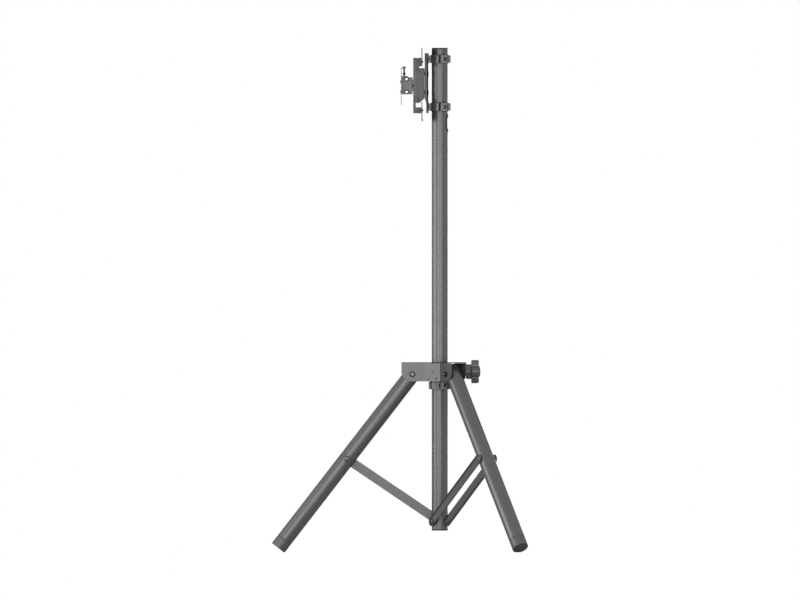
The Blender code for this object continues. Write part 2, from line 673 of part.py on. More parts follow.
def build_bracket(mats, mount):
    """The head's bracket: a spine between two blocks that stand forward of the rails."""
    upper_foot, lower_top = 1.5113, 1.3840
    block_rear = RAIL_X - GAP
    hook_x, hook_foot, hook_in, hook_slope = -0.0640, 1.3985, 1.4110, 1.4180
    shelf_x, shelf_foot = -0.0635, 1.4940
    outline = [(BRACKET_FRONT, BRACKET_FOOT_Z), (block_rear, BRACKET_FOOT_Z), (block_rear, lower_top),
               (BRACKET_SPINE, lower_top), (BRACKET_SPINE, hook_foot), (hook_x, hook_foot), (hook_x, hook_in),
               (BRACKET_SPINE, hook_slope), (BRACKET_SPINE, shelf_foot), (shelf_x, shelf_foot),
               (shelf_x, upper_foot), (block_rear, upper_foot), (block_rear, BRACKET_TOP_Z),
               (BRACKET_FRONT, BRACKET_TOP_Z)]
    bracket = prism(outline, -BRACKET_HALF, BRACKET_HALF, "Y")
    inner = BRACKET_HALF - PLATE_SHEET
    front_in, past = BRACKET_FRONT + PLATE_SHEET, 0.01
    cut(bracket, box((front_in, -inner, lower_top), (0, inner, upper_foot)))
    for foot, top in ((BRACKET_FOOT_Z - past, lower_top + 0.001), (upper_foot - 0.001, BRACKET_TOP_Z + past)):
        cut(bracket, box((front_in, -inner, foot), (block_rear - PLATE_SHEET, inner, top)))
    for x, z in BRACKET_SCREWS:
        cut(bracket, hole(M5, -0.05, 0.05, "Y", (x, 0, z)))
    cut(bracket, hole(M10, -0.10, -0.07, "X", (0, 0, SWIVEL_Z), BOLT_SIDES))
    for z in (UPPER_RAIL_SCREW_Z, LOWER_RAIL_SCREW_Z):
        for y in (-RAIL_SCREW_Y, RAIL_SCREW_Y):
            cut(bracket, hole(M5, -0.066, -0.050, "X", (0, y, z)))
    finish(bracket, "hook_bracket", mats["powder_coat"], mount, smooth=False)


def build_rails(mats, mount):
    """Two wide rails behind the bracket. The upper one has a lip at its top, the lower one at both edges."""
    front, rear = RAIL_X, RAIL_X + RAIL_THICK
    upper = [(front, 1.5116), (rear, 1.5116), (rear, 1.5640), (rear + 0.001, 1.5688), (rear - 0.002, 1.5688),
             (front, 1.5640)]
    lower = [(front - 0.002, 1.4010), (front + 0.0005, 1.4020), (rear, 1.3960), (rear, 1.3490),
             (rear + 0.002, 1.3440), (rear + 0.002, 1.3412), (front + 0.001, 1.3412), (front, 1.3480),
             (front, 1.3950)]
    before, behind = RAIL_X - 0.009, RAIL_X + 0.012
    for name, profile, screw_z, row_rise in (("upper_rail", upper, UPPER_RAIL_SCREW_Z, 0.024),
                                             ("lower_rail", lower, LOWER_RAIL_SCREW_Z, -0.018)):
        rail = prism(profile, -RAIL_HALF, RAIL_HALF, "Y")
        for way in (-1, 1):
            cut(rail, hole(M5, before, behind, "X", (0, way * RAIL_SCREW_Y, screw_z)))
            for y in (0.045, 0.070, 0.095):
                cut(rail, hole(M5, before, behind, "X", (0, way * y, screw_z + row_rise), 8))
        finish(rail, name, mats["powder_coat"], mount, smooth=False)


# Screen head. The swivel's frame has its origin on the swivel's axis, in the column's plane
def guide_slot(centre):
    """The slot, curved round the tilt axis, in which the guide rivet goes from full tilt up to full tilt down."""
    reach = M10 + GAP
    spare = 0.5
    down, up = degrees(TILT_DOWN) + spare, degrees(TILT_UP) + spare
    x, z = centre
    low_end = (x + GUIDE_DROP * sin(radians(down)), z - GUIDE_DROP * cos(radians(down)))
    high_end = (x - GUIDE_DROP * sin(radians(up)), z - GUIDE_DROP * cos(radians(up)))
    outline = arc(centre, GUIDE_DROP + reach, 270 - up, 270 + down, 5)
    outline += arc(low_end, reach, down - 90, down + 90, 5)[1:-1]
    outline += arc(centre, GUIDE_DROP - reach, 270 + down, 270 - up, 5)
    outline += arc(high_end, reach, 90 - up, 270 - up, 5)[1:-1]
    return outline


def build_yoke(mats, swivel):
    """A U of sheet. Its walls carry the pivot rivet and have the curved slots for the guide rivet.

    Its back is notched low down, where the cradle's corners swing through, and its walls are cut at a slope
    there in front, clear of the screen plate when that is tilted down.
    """
    top, foot, corner = YOKE_TOP_Z - SWIVEL_Z, HEAD_FOOT_Z - SWIVEL_Z, 0.003
    pivot = TILT_Z - SWIVEL_Z
    ear_top = pivot + 0.0086
    outline = [(YOKE_REAR, foot), (YOKE_REAR, top), (TILT_X + 0.0065, top), (TILT_X + 0.0030, ear_top),
               (YOKE_FRONT_X + corner, ear_top), (YOKE_FRONT_X, ear_top - corner), (YOKE_FRONT_X, foot + 0.0195),
               (YOKE_FRONT_X + 0.0040, foot)]
    yoke = prism(outline, -YOKE_HALF, YOKE_HALF, "Y")
    inner = YOKE_HALF - YOKE_SHEET
    cut(yoke, box((-0.20, -inner, -0.10), (YOKE_SEAT, inner, 0.10)))
    notch_inner, notch_top = CRADLE_HALF - PLATE_SHEET - 0.001, pivot - GUIDE_DROP + 0.016
    for near, far in ((notch_inner, inner), (-inner, -notch_inner)):
        cut(yoke, box((YOKE_SEAT - 0.01, near, -0.10), (YOKE_REAR + 0.01, far, notch_top)))
    cut(yoke, hole(M10, -0.10, -0.07, "X", sides=BOLT_SIDES))
    cut(yoke, hole(M10, -0.05, 0.05, "Y", (TILT_X, 0, pivot), BOLT_SIDES))
    cut(yoke, prism(guide_slot((TILT_X, pivot)), -0.05, 0.05, "Y"))
    finish(yoke, "tilt_yoke", mats["powder_coat"], swivel, smooth=False)


def hollow_rivet(name, material, parent, at):
    """A tube right through the head, spread to a flange outside each wall of the yoke."""
    flange_r, flange, outer = 0.0075, 0.0012, YOKE_HALF + GAP
    profile = [(M8, -outer - flange), (flange_r, -outer - flange), (flange_r, -outer), (M10, -outer),
               (M10, outer), (flange_r, outer), (flange_r, outer + flange), (M8, outer + flange)]
    finish(turned(profile, BOLT_SIDES, "Y", at), name, material, parent)


def build_swivel(mats, swivel):
    washer = pipe(WASHER_R, M10 + GAP, WASHER_FRONT, BRACKET_FRONT - GAP, LEG_SIDES, "X")
    finish(washer, "swivel_washer", mats["black_plastic"], swivel)
    build_yoke(mats, swivel)

    across, head, nut = 0.017, 0.006, 0.005
    head_rear = YOKE_SEAT - GAP
    nut_front = BRACKET_FRONT + PLATE_SHEET + GAP
    bolt = prism(hexagon(across), head_rear - head, head_rear, "X")
    fuse(bolt, rod(M10, head_rear - 0.002, nut_front + nut + 0.005, BOLT_SIDES, "X"))
    fuse(bolt, prism(hexagon(across), nut_front, nut_front + nut, "X"))
    finish(bolt, "swivel_bolt", mats["dark_steel"], swivel, smooth=False)
    hollow_rivet("pivot_rivet", mats["dark_steel"], swivel, (TILT_X, 0, TILT_Z - SWIVEL_Z))


# The tilting frame has its origin on the tilt axis
def build_cradle(mats, cradle, plate_rear):
    """A U of sheet that holds the screen plate, with walls just inside the yoke's. It carries the guide rivet."""
    wall_front = plate_rear + GAP
    wall_rear = wall_front + PLATE_SHEET
    foot, top = HEAD_FOOT_Z - TILT_Z, CRADLE_TOP_Z - TILT_Z
    shoulder = YOKE_TOP_Z - TILT_Z
    rear, lug_rear, lug_top, corner = 0.008, 0.0126, 0.0095 - GUIDE_DROP, 0.004
    outline = [(wall_front, foot), (lug_rear - corner, foot), (lug_rear, foot + corner), (lug_rear, lug_top),
               (rear, lug_top + corner), (rear, shoulder - corner), (rear - corner, shoulder), (-corner, top),
               (wall_front, top)]
    body = prism(outline, -CRADLE_HALF, CRADLE_HALF, "Y")
    inner = CRADLE_HALF - PLATE_SHEET
    cut(body, box((wall_rear, -inner, -0.10), (0.05, inner, 0.10)))
    for height in (0, -GUIDE_DROP):
        cut(body, hole(M10, -0.05, 0.05, "Y", (0, 0, height), BOLT_SIDES))
    for height in PLATE_BOLT_Z:
        cut(body, hole(M6, -0.03, 0, "X", (0, 0, height - TILT_Z)))
    tab_foot = top - SHEET
    fuse(body, box((wall_front, -0.0095, tab_foot), (0.001, 0.0095, top)))
    lock_x = LOCK_SCREW_X - TILT_X
    cut(body, hole(M5, tab_foot - 0.01, top + 0.01, "Z", (lock_x, 0, 0)))
    finish(body, "plate_cradle", mats["powder_coat"], cradle, smooth=False)
    hollow_rivet("guide_rivet", mats["dark_steel"], cradle, (0, 0, -GUIDE_DROP))


def build_screen_plate(mats, cradle, plate_rear):
    """A square plate with the 75 mm and 100 mm hole patterns and a lip bent back along its top."""
    front = plate_rear - SHEET
    middle = PLATE_Z - TILT_Z
    size = PLATE_SIZE / 2
    corner = 0.006
    edge = [(-size + corner, -size), (size - corner, -size), (size, -size + corner), (size, size - corner),
            (size - corner, size), (-size + corner, size), (-size, size - corner), (-size, -size + corner)]
    plate = prism([(a, b + middle) for a, b in edge], front, plate_rear, "X")
    top = middle + size
    lip_half, lip_end = 0.020, -0.005
    fuse(plate, box((plate_rear - 0.001, -lip_half, top - SHEET), (lip_end, lip_half, top)))
    before, behind = front - 0.01, plate_rear + 0.001
    for spacing in (0.075, 0.100):
        for a in (-spacing / 2, spacing / 2):
            for b in (-spacing / 2, spacing / 2):
                cut(plate, hole(M4, before, behind, "X", (0, a, middle + b), 8))
    window_half, window_half_height, window_y = 0.009, 0.026, 0.036
    for way in (-1, 1):
        window = stadium(window_half, window_half_height, (way * window_y, middle))
        cut(plate, prism(window, before, behind, "X"))
    for height in PLATE_BOLT_Z:
        cut(plate, hole(M6, before, behind, "X", (0, 0, height - TILT_Z)))
    lock_x = LOCK_SCREW_X - TILT_X
    cut(plate, hole(M5, top - 0.01, top + 0.01, "Z", (lock_x, 0, 0)))
    finish(plate, "screen_plate", mats["powder_coat"], cradle, smooth=False)

    head_r, head, neck_end = 0.0055, 0.0042, 0.0189
    shoulder = CRADLE_TOP_Z - TILT_Z + 0.0008
    point = shoulder - 0.0050
    screw = turned([(0, top + head), (head_r * 0.85, top + head), (head_r, top + head * 0.7), (head_r, top + GAP),
                    (M5, top + GAP), (M5, neck_end), (head_r, neck_end), (M5 * 0.8, shoulder),
                    (M5 * 0.8, point), (0, point)], BOLT_SIDES, "Z", (lock_x, 0, 0))
    finish(screw, "lock_screw", mats["dark_steel"], cradle)


def main():
    clear_scene()
    mats = make_materials()
    stand = add_empty("stand_frame", (COLUMN_X, 0, 0))
    build_column(mats, stand)
    build_stop_collar(mats, stand)

    hub = add_empty("hub_frame", (0, 0, PIVOT_Z), parent=stand)
    build_hub(mats, hub)
    pad = add_empty("clamp_pad_frame", (0, 0, KNOB_ABOVE_PIVOT), parent=hub)
    knob = add_empty("knob_frame", (0, 0, 0), parent=pad)
    build_clamp(mats, pad, knob)

    for name, azimuth in LEGS.items():
        out = Vector((cos(azimuth), sin(azimuth), 0)) * ARM_REACH
        leg = add_empty(f"{name}_leg_frame", out, (-LEG_ANGLE, 0, azimuth + pi / 2), hub)
        build_leg(mats, leg, name)
        turn = (pi / 2 - BRACE_ANGLE, 0, azimuth + pi / 2)
        brace = add_empty(f"{name}_brace_frame", (0, 0, BRACE_PIVOT_Z), turn, stand)
        build_brace(mats, brace, name)

    liners = add_empty("clamp_liner_frame", (0, 0, 0), parent=stand)
    build_liners(mats, liners)
    mount = add_empty("mount_frame", (0, 0, 0), parent=liners)
    build_pole_clamps(mats, mount)
    build_pole_plate(mats, mount)
    build_channel(mats, mount)
    build_bracket(mats, mount)
    build_rails(mats, mount)
    swivel = add_empty("swivel_frame", (0, 0, SWIVEL_Z), parent=mount)
    build_swivel(mats, swivel)
    cradle = add_empty("tilt_frame", (TILT_X, 0, TILT_Z - SWIVEL_Z), parent=swivel)
    plate_rear = PLATE_X + SHEET / 2 - TILT_X
    build_cradle(mats, cradle, plate_rear)
    build_screen_plate(mats, cradle, plate_rear)


main()
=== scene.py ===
"""Display floor stand: the detailed look of a folding tripod with a pole and a tilting screen mount.

Metres, Z up. X runs from the screen side (negative) to the rear. Shapes are drawn from the column's axis,
and each finished piece is then moved to the stand's own origin, under the middle of its footprint.
"""
import json
from math import atan2, cos, pi, radians, sin, sqrt, tan

import bmesh
import bpy
from bpy.props import FloatProperty, FloatVectorProperty, IntProperty, PointerProperty
from bpy.types import Operator, Panel, PropertyGroup
from mathutils import Matrix, Vector


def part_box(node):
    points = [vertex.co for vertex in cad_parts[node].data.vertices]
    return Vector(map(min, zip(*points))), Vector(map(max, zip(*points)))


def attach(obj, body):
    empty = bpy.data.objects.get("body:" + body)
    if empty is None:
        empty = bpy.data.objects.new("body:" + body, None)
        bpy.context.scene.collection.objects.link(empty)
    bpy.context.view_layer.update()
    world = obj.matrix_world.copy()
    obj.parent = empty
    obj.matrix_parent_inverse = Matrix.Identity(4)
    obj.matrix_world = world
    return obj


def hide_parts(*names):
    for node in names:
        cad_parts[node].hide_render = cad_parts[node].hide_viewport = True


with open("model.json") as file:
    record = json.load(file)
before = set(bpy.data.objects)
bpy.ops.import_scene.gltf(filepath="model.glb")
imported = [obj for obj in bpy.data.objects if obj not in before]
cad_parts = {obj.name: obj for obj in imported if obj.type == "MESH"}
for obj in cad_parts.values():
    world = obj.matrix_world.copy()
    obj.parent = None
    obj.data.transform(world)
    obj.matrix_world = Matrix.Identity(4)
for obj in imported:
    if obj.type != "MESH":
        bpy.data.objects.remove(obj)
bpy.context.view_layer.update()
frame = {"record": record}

bl_info = {
    "name": "Display floor stand",
    "version": (1, 0, 0),
    "blender": (4, 5, 0),
    "location": "3D View > Sidebar > Floor stand",
    "description": "Builds the detailed pieces of a folding display floor stand on its packed frame",
    "category": "Add Mesh",
}

# Sizes read from the frame
JOINTS = {joint["name"]: joint for joint in frame["record"]["behaviour"]["joints"]}
COLUMN_X, _, BRACE_PIVOT_Z = JOINTS["front_brace_fold"]["pos_m"]
PIVOT_Z = JOINTS["front_leg_fold"]["pos_m"][2]
ARM_REACH = COLUMN_X - JOINTS["front_leg_fold"]["pos_m"][0]
LEG_ANGLE = radians(JOINTS["front_leg_fold"]["range_deg"][1])
KNOB_Z = JOINTS["knob_turn"]["pos_m"][2]
SWIVEL_Z = JOINTS["head_swivel"]["pos_m"][2]
TILT_X = JOINTS["head_tilt"]["pos_m"][0] - COLUMN_X
TILT_Z = JOINTS["head_tilt"]["pos_m"][2]
TUBE_R = (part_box("column_tube")[1].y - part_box("column_tube")[0].y) / 2
TUBE_FOOT_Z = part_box("column_tube")[0].z
TUBE_TOP_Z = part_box("column_tube")[1].z
COLUMN_FOOT_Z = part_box("column_bottom_cap")[0].z
COLUMN_TOP_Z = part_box("column_top_cap")[1].z

# Sheet, tube and gap
GAP = 0.0003
TUBE_WALL = 0.002
SHEET = 0.002
PLATE_SHEET = 0.0025

# How far a cutting tool goes past the face that it opens, and how far two joined shapes overlap
PAST = 0.01
OVERLAP = 0.001
# Half the length of tools that go right through the mount or the head, and of those that shape a wall
THROUGH = 0.05
WIDE = 0.04
HEXAGON = 6

# Bolt and rivet radii
M4 = 0.002
M5 = 0.0025
M6 = 0.003
M8 = 0.004
M10 = 0.005
M12 = 0.006

# Column
CAP_PLUG = 0.016
OUTLET_Z = 1.335
OUTLET_HALF = 0.022
OUTLET_R = 0.012
GROMMET_RIM = 0.0055
GROMMET_NECK = 0.002

# Tripod
HALF_SPREAD = radians(60)
LEGS = {"front": pi, "rear_right": -HALF_SPREAD, "rear_left": HALF_SPREAD}
LEG_LENGTH = 0.683
LEG_STUB = 0.022
BRACE_ON_LEG = 0.333
BRACE_SIDE = 0.0283
BRACE_WIDTH = 0.0285
BRACE_DEPTH = 0.006
FOOT_SLEEVE = 0.033
FOOT_EDGE = 0.0012

# Hub
HUB_HEIGHT = 0.0595
HUB_PLATE = 0.003
HUB_FOOT = -0.0224
HUB_TOP = HUB_FOOT + HUB_HEIGHT
ARM_OUTER = 0.0275
ARM_LENGTH = 0.119
ARM_CORNER_R = 0.030
FACE_DISTANCE = 0.048
RIVET_SPREAD = 0.016
RIVET_RISE = 0.0095
FACES = {"a": radians(240), "b": radians(0), "c": radians(120)}
KNOB_ABOVE_PIVOT = KNOB_Z - PIVOT_Z
KNOB_SKIRT_X = 0.0815
KNOB_HEAD_X = 0.0979
KNOB_END_X = 0.1219
KNOB_VALLEY_R = 0.0225
KNOB_LOBE = 0.01375

# Pipe clamps
CLAMP_HEIGHT = 0.025
CLAMP_SPLIT = 0.0028
CLAMP_BORE = 0.0268
CLAMP_RING = 0.0300
CLAMP_EAR_Y = 0.040
CLAMP_EAR_X = 0.024
CLAMP_PAD_X = 0.034
CLAMP_PAD_HALF = 0.014
CLAMP_SCREW_Y = 0.0335
CLAMP_SCREW_SEAT = 0.0133
CLEAR_OF_CLAMP = 0.060
STOP_Z = 0.5193
LOWER_CLAMP_Z = 1.385
UPPER_CLAMP_Z = 1.534

# Screen mount, with X as the distance from the column's axis
POLE_PLATE_HALF = 0.022
POLE_PLATE_TOP_Z = 1.5524
POLE_PLATE_FOOT_Z = 1.3660
POLE_STEP_X = -0.0380
POLE_BOLT_Z = (1.4890, 1.4300)
CHANNEL_HALF = 0.0255
CHANNEL_REAR = -0.0472
CHANNEL_FRONT = -0.0742
BRACKET_HALF = 0.0286
BRACKET_FRONT = -0.0824
BRACKET_SPINE = -0.0744
BRACKET_TOP_Z = 1.5378
BRACKET_FOOT_Z = 1.3653
BRACKET_SCREWS = ((-0.0690, 1.5000), (-0.0690, 1.4045))
RAIL_X = -0.0568
RAIL_THICK = 0.003
RAIL_HALF = 0.105
UPPER_RAIL_SCREW_Z = 1.5250
LOWER_RAIL_SCREW_Z = 1.3745
RAIL_SCREW_Y = 0.016
RAIL_SCREWS = [(y, z) for z in (UPPER_RAIL_SCREW_Z, LOWER_RAIL_SCREW_Z)
               for y in (-RAIL_SCREW_Y, RAIL_SCREW_Y)]

# Screen head, with the two ends of the tool that bores the swivel bolt's holes
SWIVEL_BORE = (-0.10, -0.07)
WASHER_R = 0.018
WASHER_THICK = 0.0014
YOKE_HALF = 0.0225
YOKE_SHEET = 0.0022
YOKE_BACK = 0.0027
YOKE_REAR = BRACKET_FRONT - 2 * GAP - WASHER_THICK
YOKE_SEAT = YOKE_REAR - YOKE_BACK
YOKE_FRONT_X = -0.1135
YOKE_TOP_Z = 1.4777
HEAD_FOOT_Z = 1.4243
CRADLE_TOP_Z = 1.4818
CRADLE_HALF = 0.0198
GUIDE_DROP = 0.0398
TILT_UP, TILT_DOWN = (-JOINTS["head_tilt"]["range_deg"][0], JOINTS["head_tilt"]["range_deg"][1])
PLATE_BOLT_Z = (1.4633, 1.4321)
PLATE_SIZE = 0.115
PLATE_Z = 1.4488
PLATE_REAR = -0.1186
LOCK_SCREW_X = -0.1105

# Worked out from the sizes above
BRACE_RUN = ARM_REACH + BRACE_ON_LEG * sin(LEG_ANGLE)
BRACE_RISE = PIVOT_Z - BRACE_ON_LEG * cos(LEG_ANGLE) - BRACE_PIVOT_Z
BRACE_LENGTH = sqrt(BRACE_RUN ** 2 + BRACE_RISE ** 2)
BRACE_ANGLE = atan2(BRACE_RISE, BRACE_RUN)

# The photo's frame: a square side view, 3.11 mm to a pixel, with the floor at pixel row 552.3
VIEW_WIDTH = 2.488
VIEW_MIDDLE_Z = 0.7847


class StandShape(PropertyGroup):
    tube_sides: IntProperty(
        name="Tube sides", description="Flat sides round the column, the legs and the clamps",
        default=96, min=24, max=192)
    bolt_sides: IntProperty(
        name="Bolt sides", description="Flat sides round bolts, rivets and their holes",
        default=36, min=12, max=96)
    edge: FloatProperty(
        name="Edge", description="Rounding of the edges of plates and clamps",
        default=0.0004, min=0.0001, max=0.001, precision=4, unit="LENGTH", subtype="DISTANCE")
    bend: FloatProperty(
        name="Bend", description="Inner radius of the folds of sheet metal",
        default=0.0018, min=0.0005, max=0.004, precision=4, unit="LENGTH", subtype="DISTANCE")
    thread_pitch: FloatProperty(
        name="Thread pitch", description="Rise of one turn of the clamp screw's thread",
        default=0.0015, min=0.001, max=0.003, precision=4, unit="LENGTH", subtype="DISTANCE")
    rivet_head: FloatProperty(
        name="Rivet head", description="Radius of the rivets in the hub's faces",
        default=0.0045, min=0.003, max=0.006, precision=4, unit="LENGTH", subtype="DISTANCE")
    rail_screw_head: FloatProperty(
        name="Rail screw head", description="Radius of the heads that hold the rails and the bracket",
        default=0.0046, min=0.003, max=0.006, precision=4, unit="LENGTH", subtype="DISTANCE")


class StandFinish(PropertyGroup):
    coat_colour: FloatVectorProperty(
        name="Powder coat", description="Colour of the charcoal powder coat",
        default=(0.054, 0.055, 0.057), size=3, min=0.0, max=1.0, subtype="COLOR")
    coat_roughness: FloatProperty(
        name="Coat roughness", description="How satin the powder coat is",
        default=0.31, min=0.0, max=1.0, subtype="FACTOR")
    coat_peel: FloatProperty(
        name="Coat peel", description="Size of the fine waves in the powder coat",
        default=0.0011, min=0.0003, max=0.005, precision=4, unit="LENGTH", subtype="DISTANCE")
    plastic_colour: FloatVectorProperty(
        name="Black plastic", description="Colour of the moulded caps, bush and knob",
        default=(0.022, 0.022, 0.024), size=3, min=0.0, max=1.0, subtype="COLOR")
    knob_colour: FloatVectorProperty(
        name="Knob", description="Colour of the star knob",
        default=(0.054, 0.054, 0.056), size=3, min=0.0, max=1.0, subtype="COLOR")
    foot_colour: FloatVectorProperty(
        name="Feet", description="Colour of the rubber feet",
        default=(0.052, 0.052, 0.054), size=3, min=0.0, max=1.0, subtype="COLOR")
    rubber_colour: FloatVectorProperty(
        name="Rubber", description="Colour of the clamp liners and the clamp shoe",
        default=(0.030, 0.030, 0.031), size=3, min=0.0, max=1.0, subtype="COLOR")
    dark_steel_colour: FloatVectorProperty(
        name="Blackened steel", description="Colour of the dark screws, nuts and rivets",
        default=(0.018, 0.018, 0.019), size=3, min=0.0, max=1.0, subtype="COLOR")
    dull_steel_colour: FloatVectorProperty(
        name="Dull zinc", description="Colour of the bolts and rivets of the braces",
        default=(0.09, 0.09, 0.092), size=3, min=0.0, max=1.0, subtype="COLOR")
    bright_steel_colour: FloatVectorProperty(
        name="Zinc-plated steel", description="Colour of the light bolts, rivets and stud",
        default=(0.13, 0.13, 0.133), size=3, min=0.0, max=1.0, subtype="COLOR")


class StandStage(PropertyGroup):
    floor_colour: FloatVectorProperty(
        name="Floor", description="Colour of the studio floor",
        default=(0.84, 0.84, 0.84), size=3, min=0.0, max=1.0, subtype="COLOR")
    left_light: FloatProperty(
        name="Left light", description="Power of the wide soft light on the left",
        default=44.0, min=0.0, unit="POWER")
    front_light: FloatProperty(
        name="Front light", description="Power of the wide soft light beside the camera",
        default=34.0, min=0.0, unit="POWER")
    right_light: FloatProperty(
        name="Right light", description="Power of the wide soft light at the front right",
        default=29.0, min=0.0, unit="POWER")
    rear_light: FloatProperty(
        name="Rear light", description="Power of the soft light behind the stand",
        default=50.0, min=0.0, unit="POWER")
    ambient: FloatProperty(
        name="Room light", description="Strength of the even light from all round",
        default=0.30, min=0.0, max=2.0)


def shape():
    return bpy.context.scene.stand_shape


# Outlines
def rounded(points, radius, steps=3, closed=True):
    """The outline with its corners made arcs. Radius is one number, or one for each corner."""
    straight, most_of_side = radians(4), 0.48
    count = len(points)
    radii = radius if isinstance(radius, (list, tuple)) else [radius] * count
    result = []
    for i in range(count):
        here = Vector(points[i])
        is_end = not closed and i in (0, count - 1)
        if is_end or radii[i] == 0:
            result.append(tuple(here))
            continue
        back = Vector(points[i - 1]) - here
        onward = Vector(points[(i + 1) % count]) - here
        turn = pi - back.angle(onward)
        if turn < straight:
            result.append(tuple(here))
            continue
        run = min(radii[i] * tan(turn / 2), most_of_side * min(back.length, onward.length))
        start, end = here + back.normalized() * run, here + onward.normalized() * run
        for k in range(steps + 1):
            t = k / steps
            result.append(tuple(start * (1 - t) ** 2 + here * (2 * t * (1 - t)) + end * t ** 2))
    return result


def inset(outline, distance):
    """The outline moved inwards all round."""
    pairs = list(zip(outline, outline[1:] + outline[:1]))
    side = 1 if sum(a[0] * b[1] - b[0] * a[1] for a, b in pairs) > 0 else -1
    count = len(outline)
    result = []
    for i in range(count):
        here = Vector(outline[i])
        before = (here - Vector(outline[i - 1])).normalized()
        after = (Vector(outline[(i + 1) % count]) - here).normalized()
        first = Vector((-before.y, before.x)) * side
        second = Vector((-after.y, after.x)) * side
        result.append(tuple(here + (first + second) * (distance / (1 + first.dot(second)))))
    return result


def arc(centre, radius, start, end, steps):
    """Points along an arc, angles in degrees."""
    points = []
    for i in range(steps + 1):
        angle = radians(start + (end - start) * i / steps)
        points.append((centre[0] + radius * cos(angle), centre[1] + radius * sin(angle)))
    return points


def stadium(half_width, half_height, centre=(0, 0), steps=16):
    """A slot outline with round ends, taller than it is wide."""
    x, y = centre
    straight = half_height - half_width
    upper = arc((x, y + straight), half_width, 0, 180, steps)
    lower = arc((x, y - straight), half_width, 180, 360, steps)
    return upper + lower


def domed(radius, seat, height, rim, angles):
    """Points over a dome on a low rim, angles in degrees. Rim is that rim's share of the height."""
    points = []
    for a in angles:
        share = rim + (1 - rim) * sin(radians(a))
        points.append((radius * cos(radians(a)), seat + height * share))
    return points


# Solids
def linked(name, data):
    """A new object with this data, in the scene."""
    obj = bpy.data.objects.new(name, data)
    bpy.context.scene.collection.objects.link(obj)
    return obj


def mesh_object(bm):
    """A temporary object for one shape, to be carved or joined."""
    bmesh.ops.recalc_face_normals(bm, faces=bm.faces)
    mesh = bpy.data.meshes.new("shape")
    bm.to_mesh(mesh)
    bm.free()
    return linked("shape", mesh)


def skinned(rings):
    """A solid through rings of as many points each, closed at its first and last ring."""
    bm = bmesh.new()
    loops = [[bm.verts.new(point) for point in ring] for ring in rings]
    bm.faces.new(loops[0])
    bm.faces.new(loops[-1])
    count = len(loops[0])
    for lower, upper in zip(loops, loops[1:]):
        for i in range(count):
            j = (i + 1) % count
            bm.faces.new((lower[i], lower[j], upper[j], upper[i]))
    return mesh_object(bm)


def baked(obj):
    """Turn the object's modifiers into its mesh."""
    bpy.context.view_layer.update()
    graph = bpy.context.evaluated_depsgraph_get()
    mesh = bpy.data.meshes.new_from_object(obj.evaluated_get(graph))
    obj.modifiers.clear()
    obj.data = mesh
    return obj


def boolean(target, tools, operation):
    for tool in tools:
        modifier = target.modifiers.new(operation.lower(), "BOOLEAN")
        modifier.operation = operation
        modifier.object = tool
        modifier.solver = "EXACT"
        baked(target)
        bpy.data.objects.remove(tool, do_unlink=True)
    return target


def at_heights(*heights):
    """Points on the Z axis."""
    return [(0, 0, height) for height in heights]


def cut(target, *tools):
    return boolean(target, tools, "DIFFERENCE")


def fuse(target, *tools):
    return boolean(target, tools, "UNION")


def keep_inside(target, tool):
    return boolean(target, (tool,), "INTERSECT")


def soften(obj, width=None):
    """Round the sharp edges of a solid a little."""
    bevel = obj.modifiers.new("edge", "BEVEL")
    bevel.width = width or shape().edge
    bevel.segments = 3
    bevel.limit_method = "ANGLE"
    bevel.angle_limit = radians(40)
    bevel.use_clamp_overlap = True
    return baked(obj)


def turned(profile, sides, axis="Z", at=(0, 0, 0)):
    """The profile's (radius, height) points turned round an axis through a point. It closes on itself."""
    bm = bmesh.new()
    rings = []
    for radius, height in profile:
        if radius == 0:
            rings.append([bm.verts.new((0, 0, height))])
            continue
        ring = []
        for i in range(sides):
            angle = 2 * pi * i / sides
            ring.append(bm.verts.new((radius * cos(angle), radius * sin(angle), height)))
        rings.append(ring)
    pairs = list(zip(rings, rings[1:]))
    if profile[0][0] > 0:
        pairs.append((rings[-1], rings[0]))
    for first, second in pairs:
        for i in range(sides):
            j = (i + 1) % sides
            if len(first) == 1:
                bm.faces.new((first[0], second[j], second[i]))
            elif len(second) == 1:
                bm.faces.new((first[i], first[j], second[0]))
            else:
                bm.faces.new((first[i], first[j], second[j], second[i]))
    turn = {"Z": Matrix(), "X": Matrix.Rotation(pi / 2, 4, "Y"), "Y": Matrix.Rotation(-pi / 2, 4, "X")}
    bmesh.ops.transform(bm, matrix=Matrix.Translation(at) @ turn[axis], verts=bm.verts)
    return mesh_object(bm)


def rod(radius, start, end, sides, axis="Z", at=(0, 0, 0)):
    return turned([(0, start), (radius, start), (radius, end), (0, end)], sides, axis, at)


def pipe(outer, inner, start, end, sides, axis="Z", edge=0.0):
    profile = [(outer, start), (outer, end), (inner, end), (inner, start)]
    return turned(rounded(profile, edge) if edge else profile, sides, axis)


def hole(radius, start, end, axis, at=(0, 0, 0), sides=None):
    """A tool that bores a clearance hole for a bolt of this radius."""
    return rod(radius + GAP, start, end, sides or shape().bolt_sides, axis, at)


def bore(target, radius, start, end, axis, points, sides=None):
    """Bore a clearance hole along the axis at each of the points."""
    for at in points:
        cut(target, hole(radius, start, end, axis, at, sides))
    return target


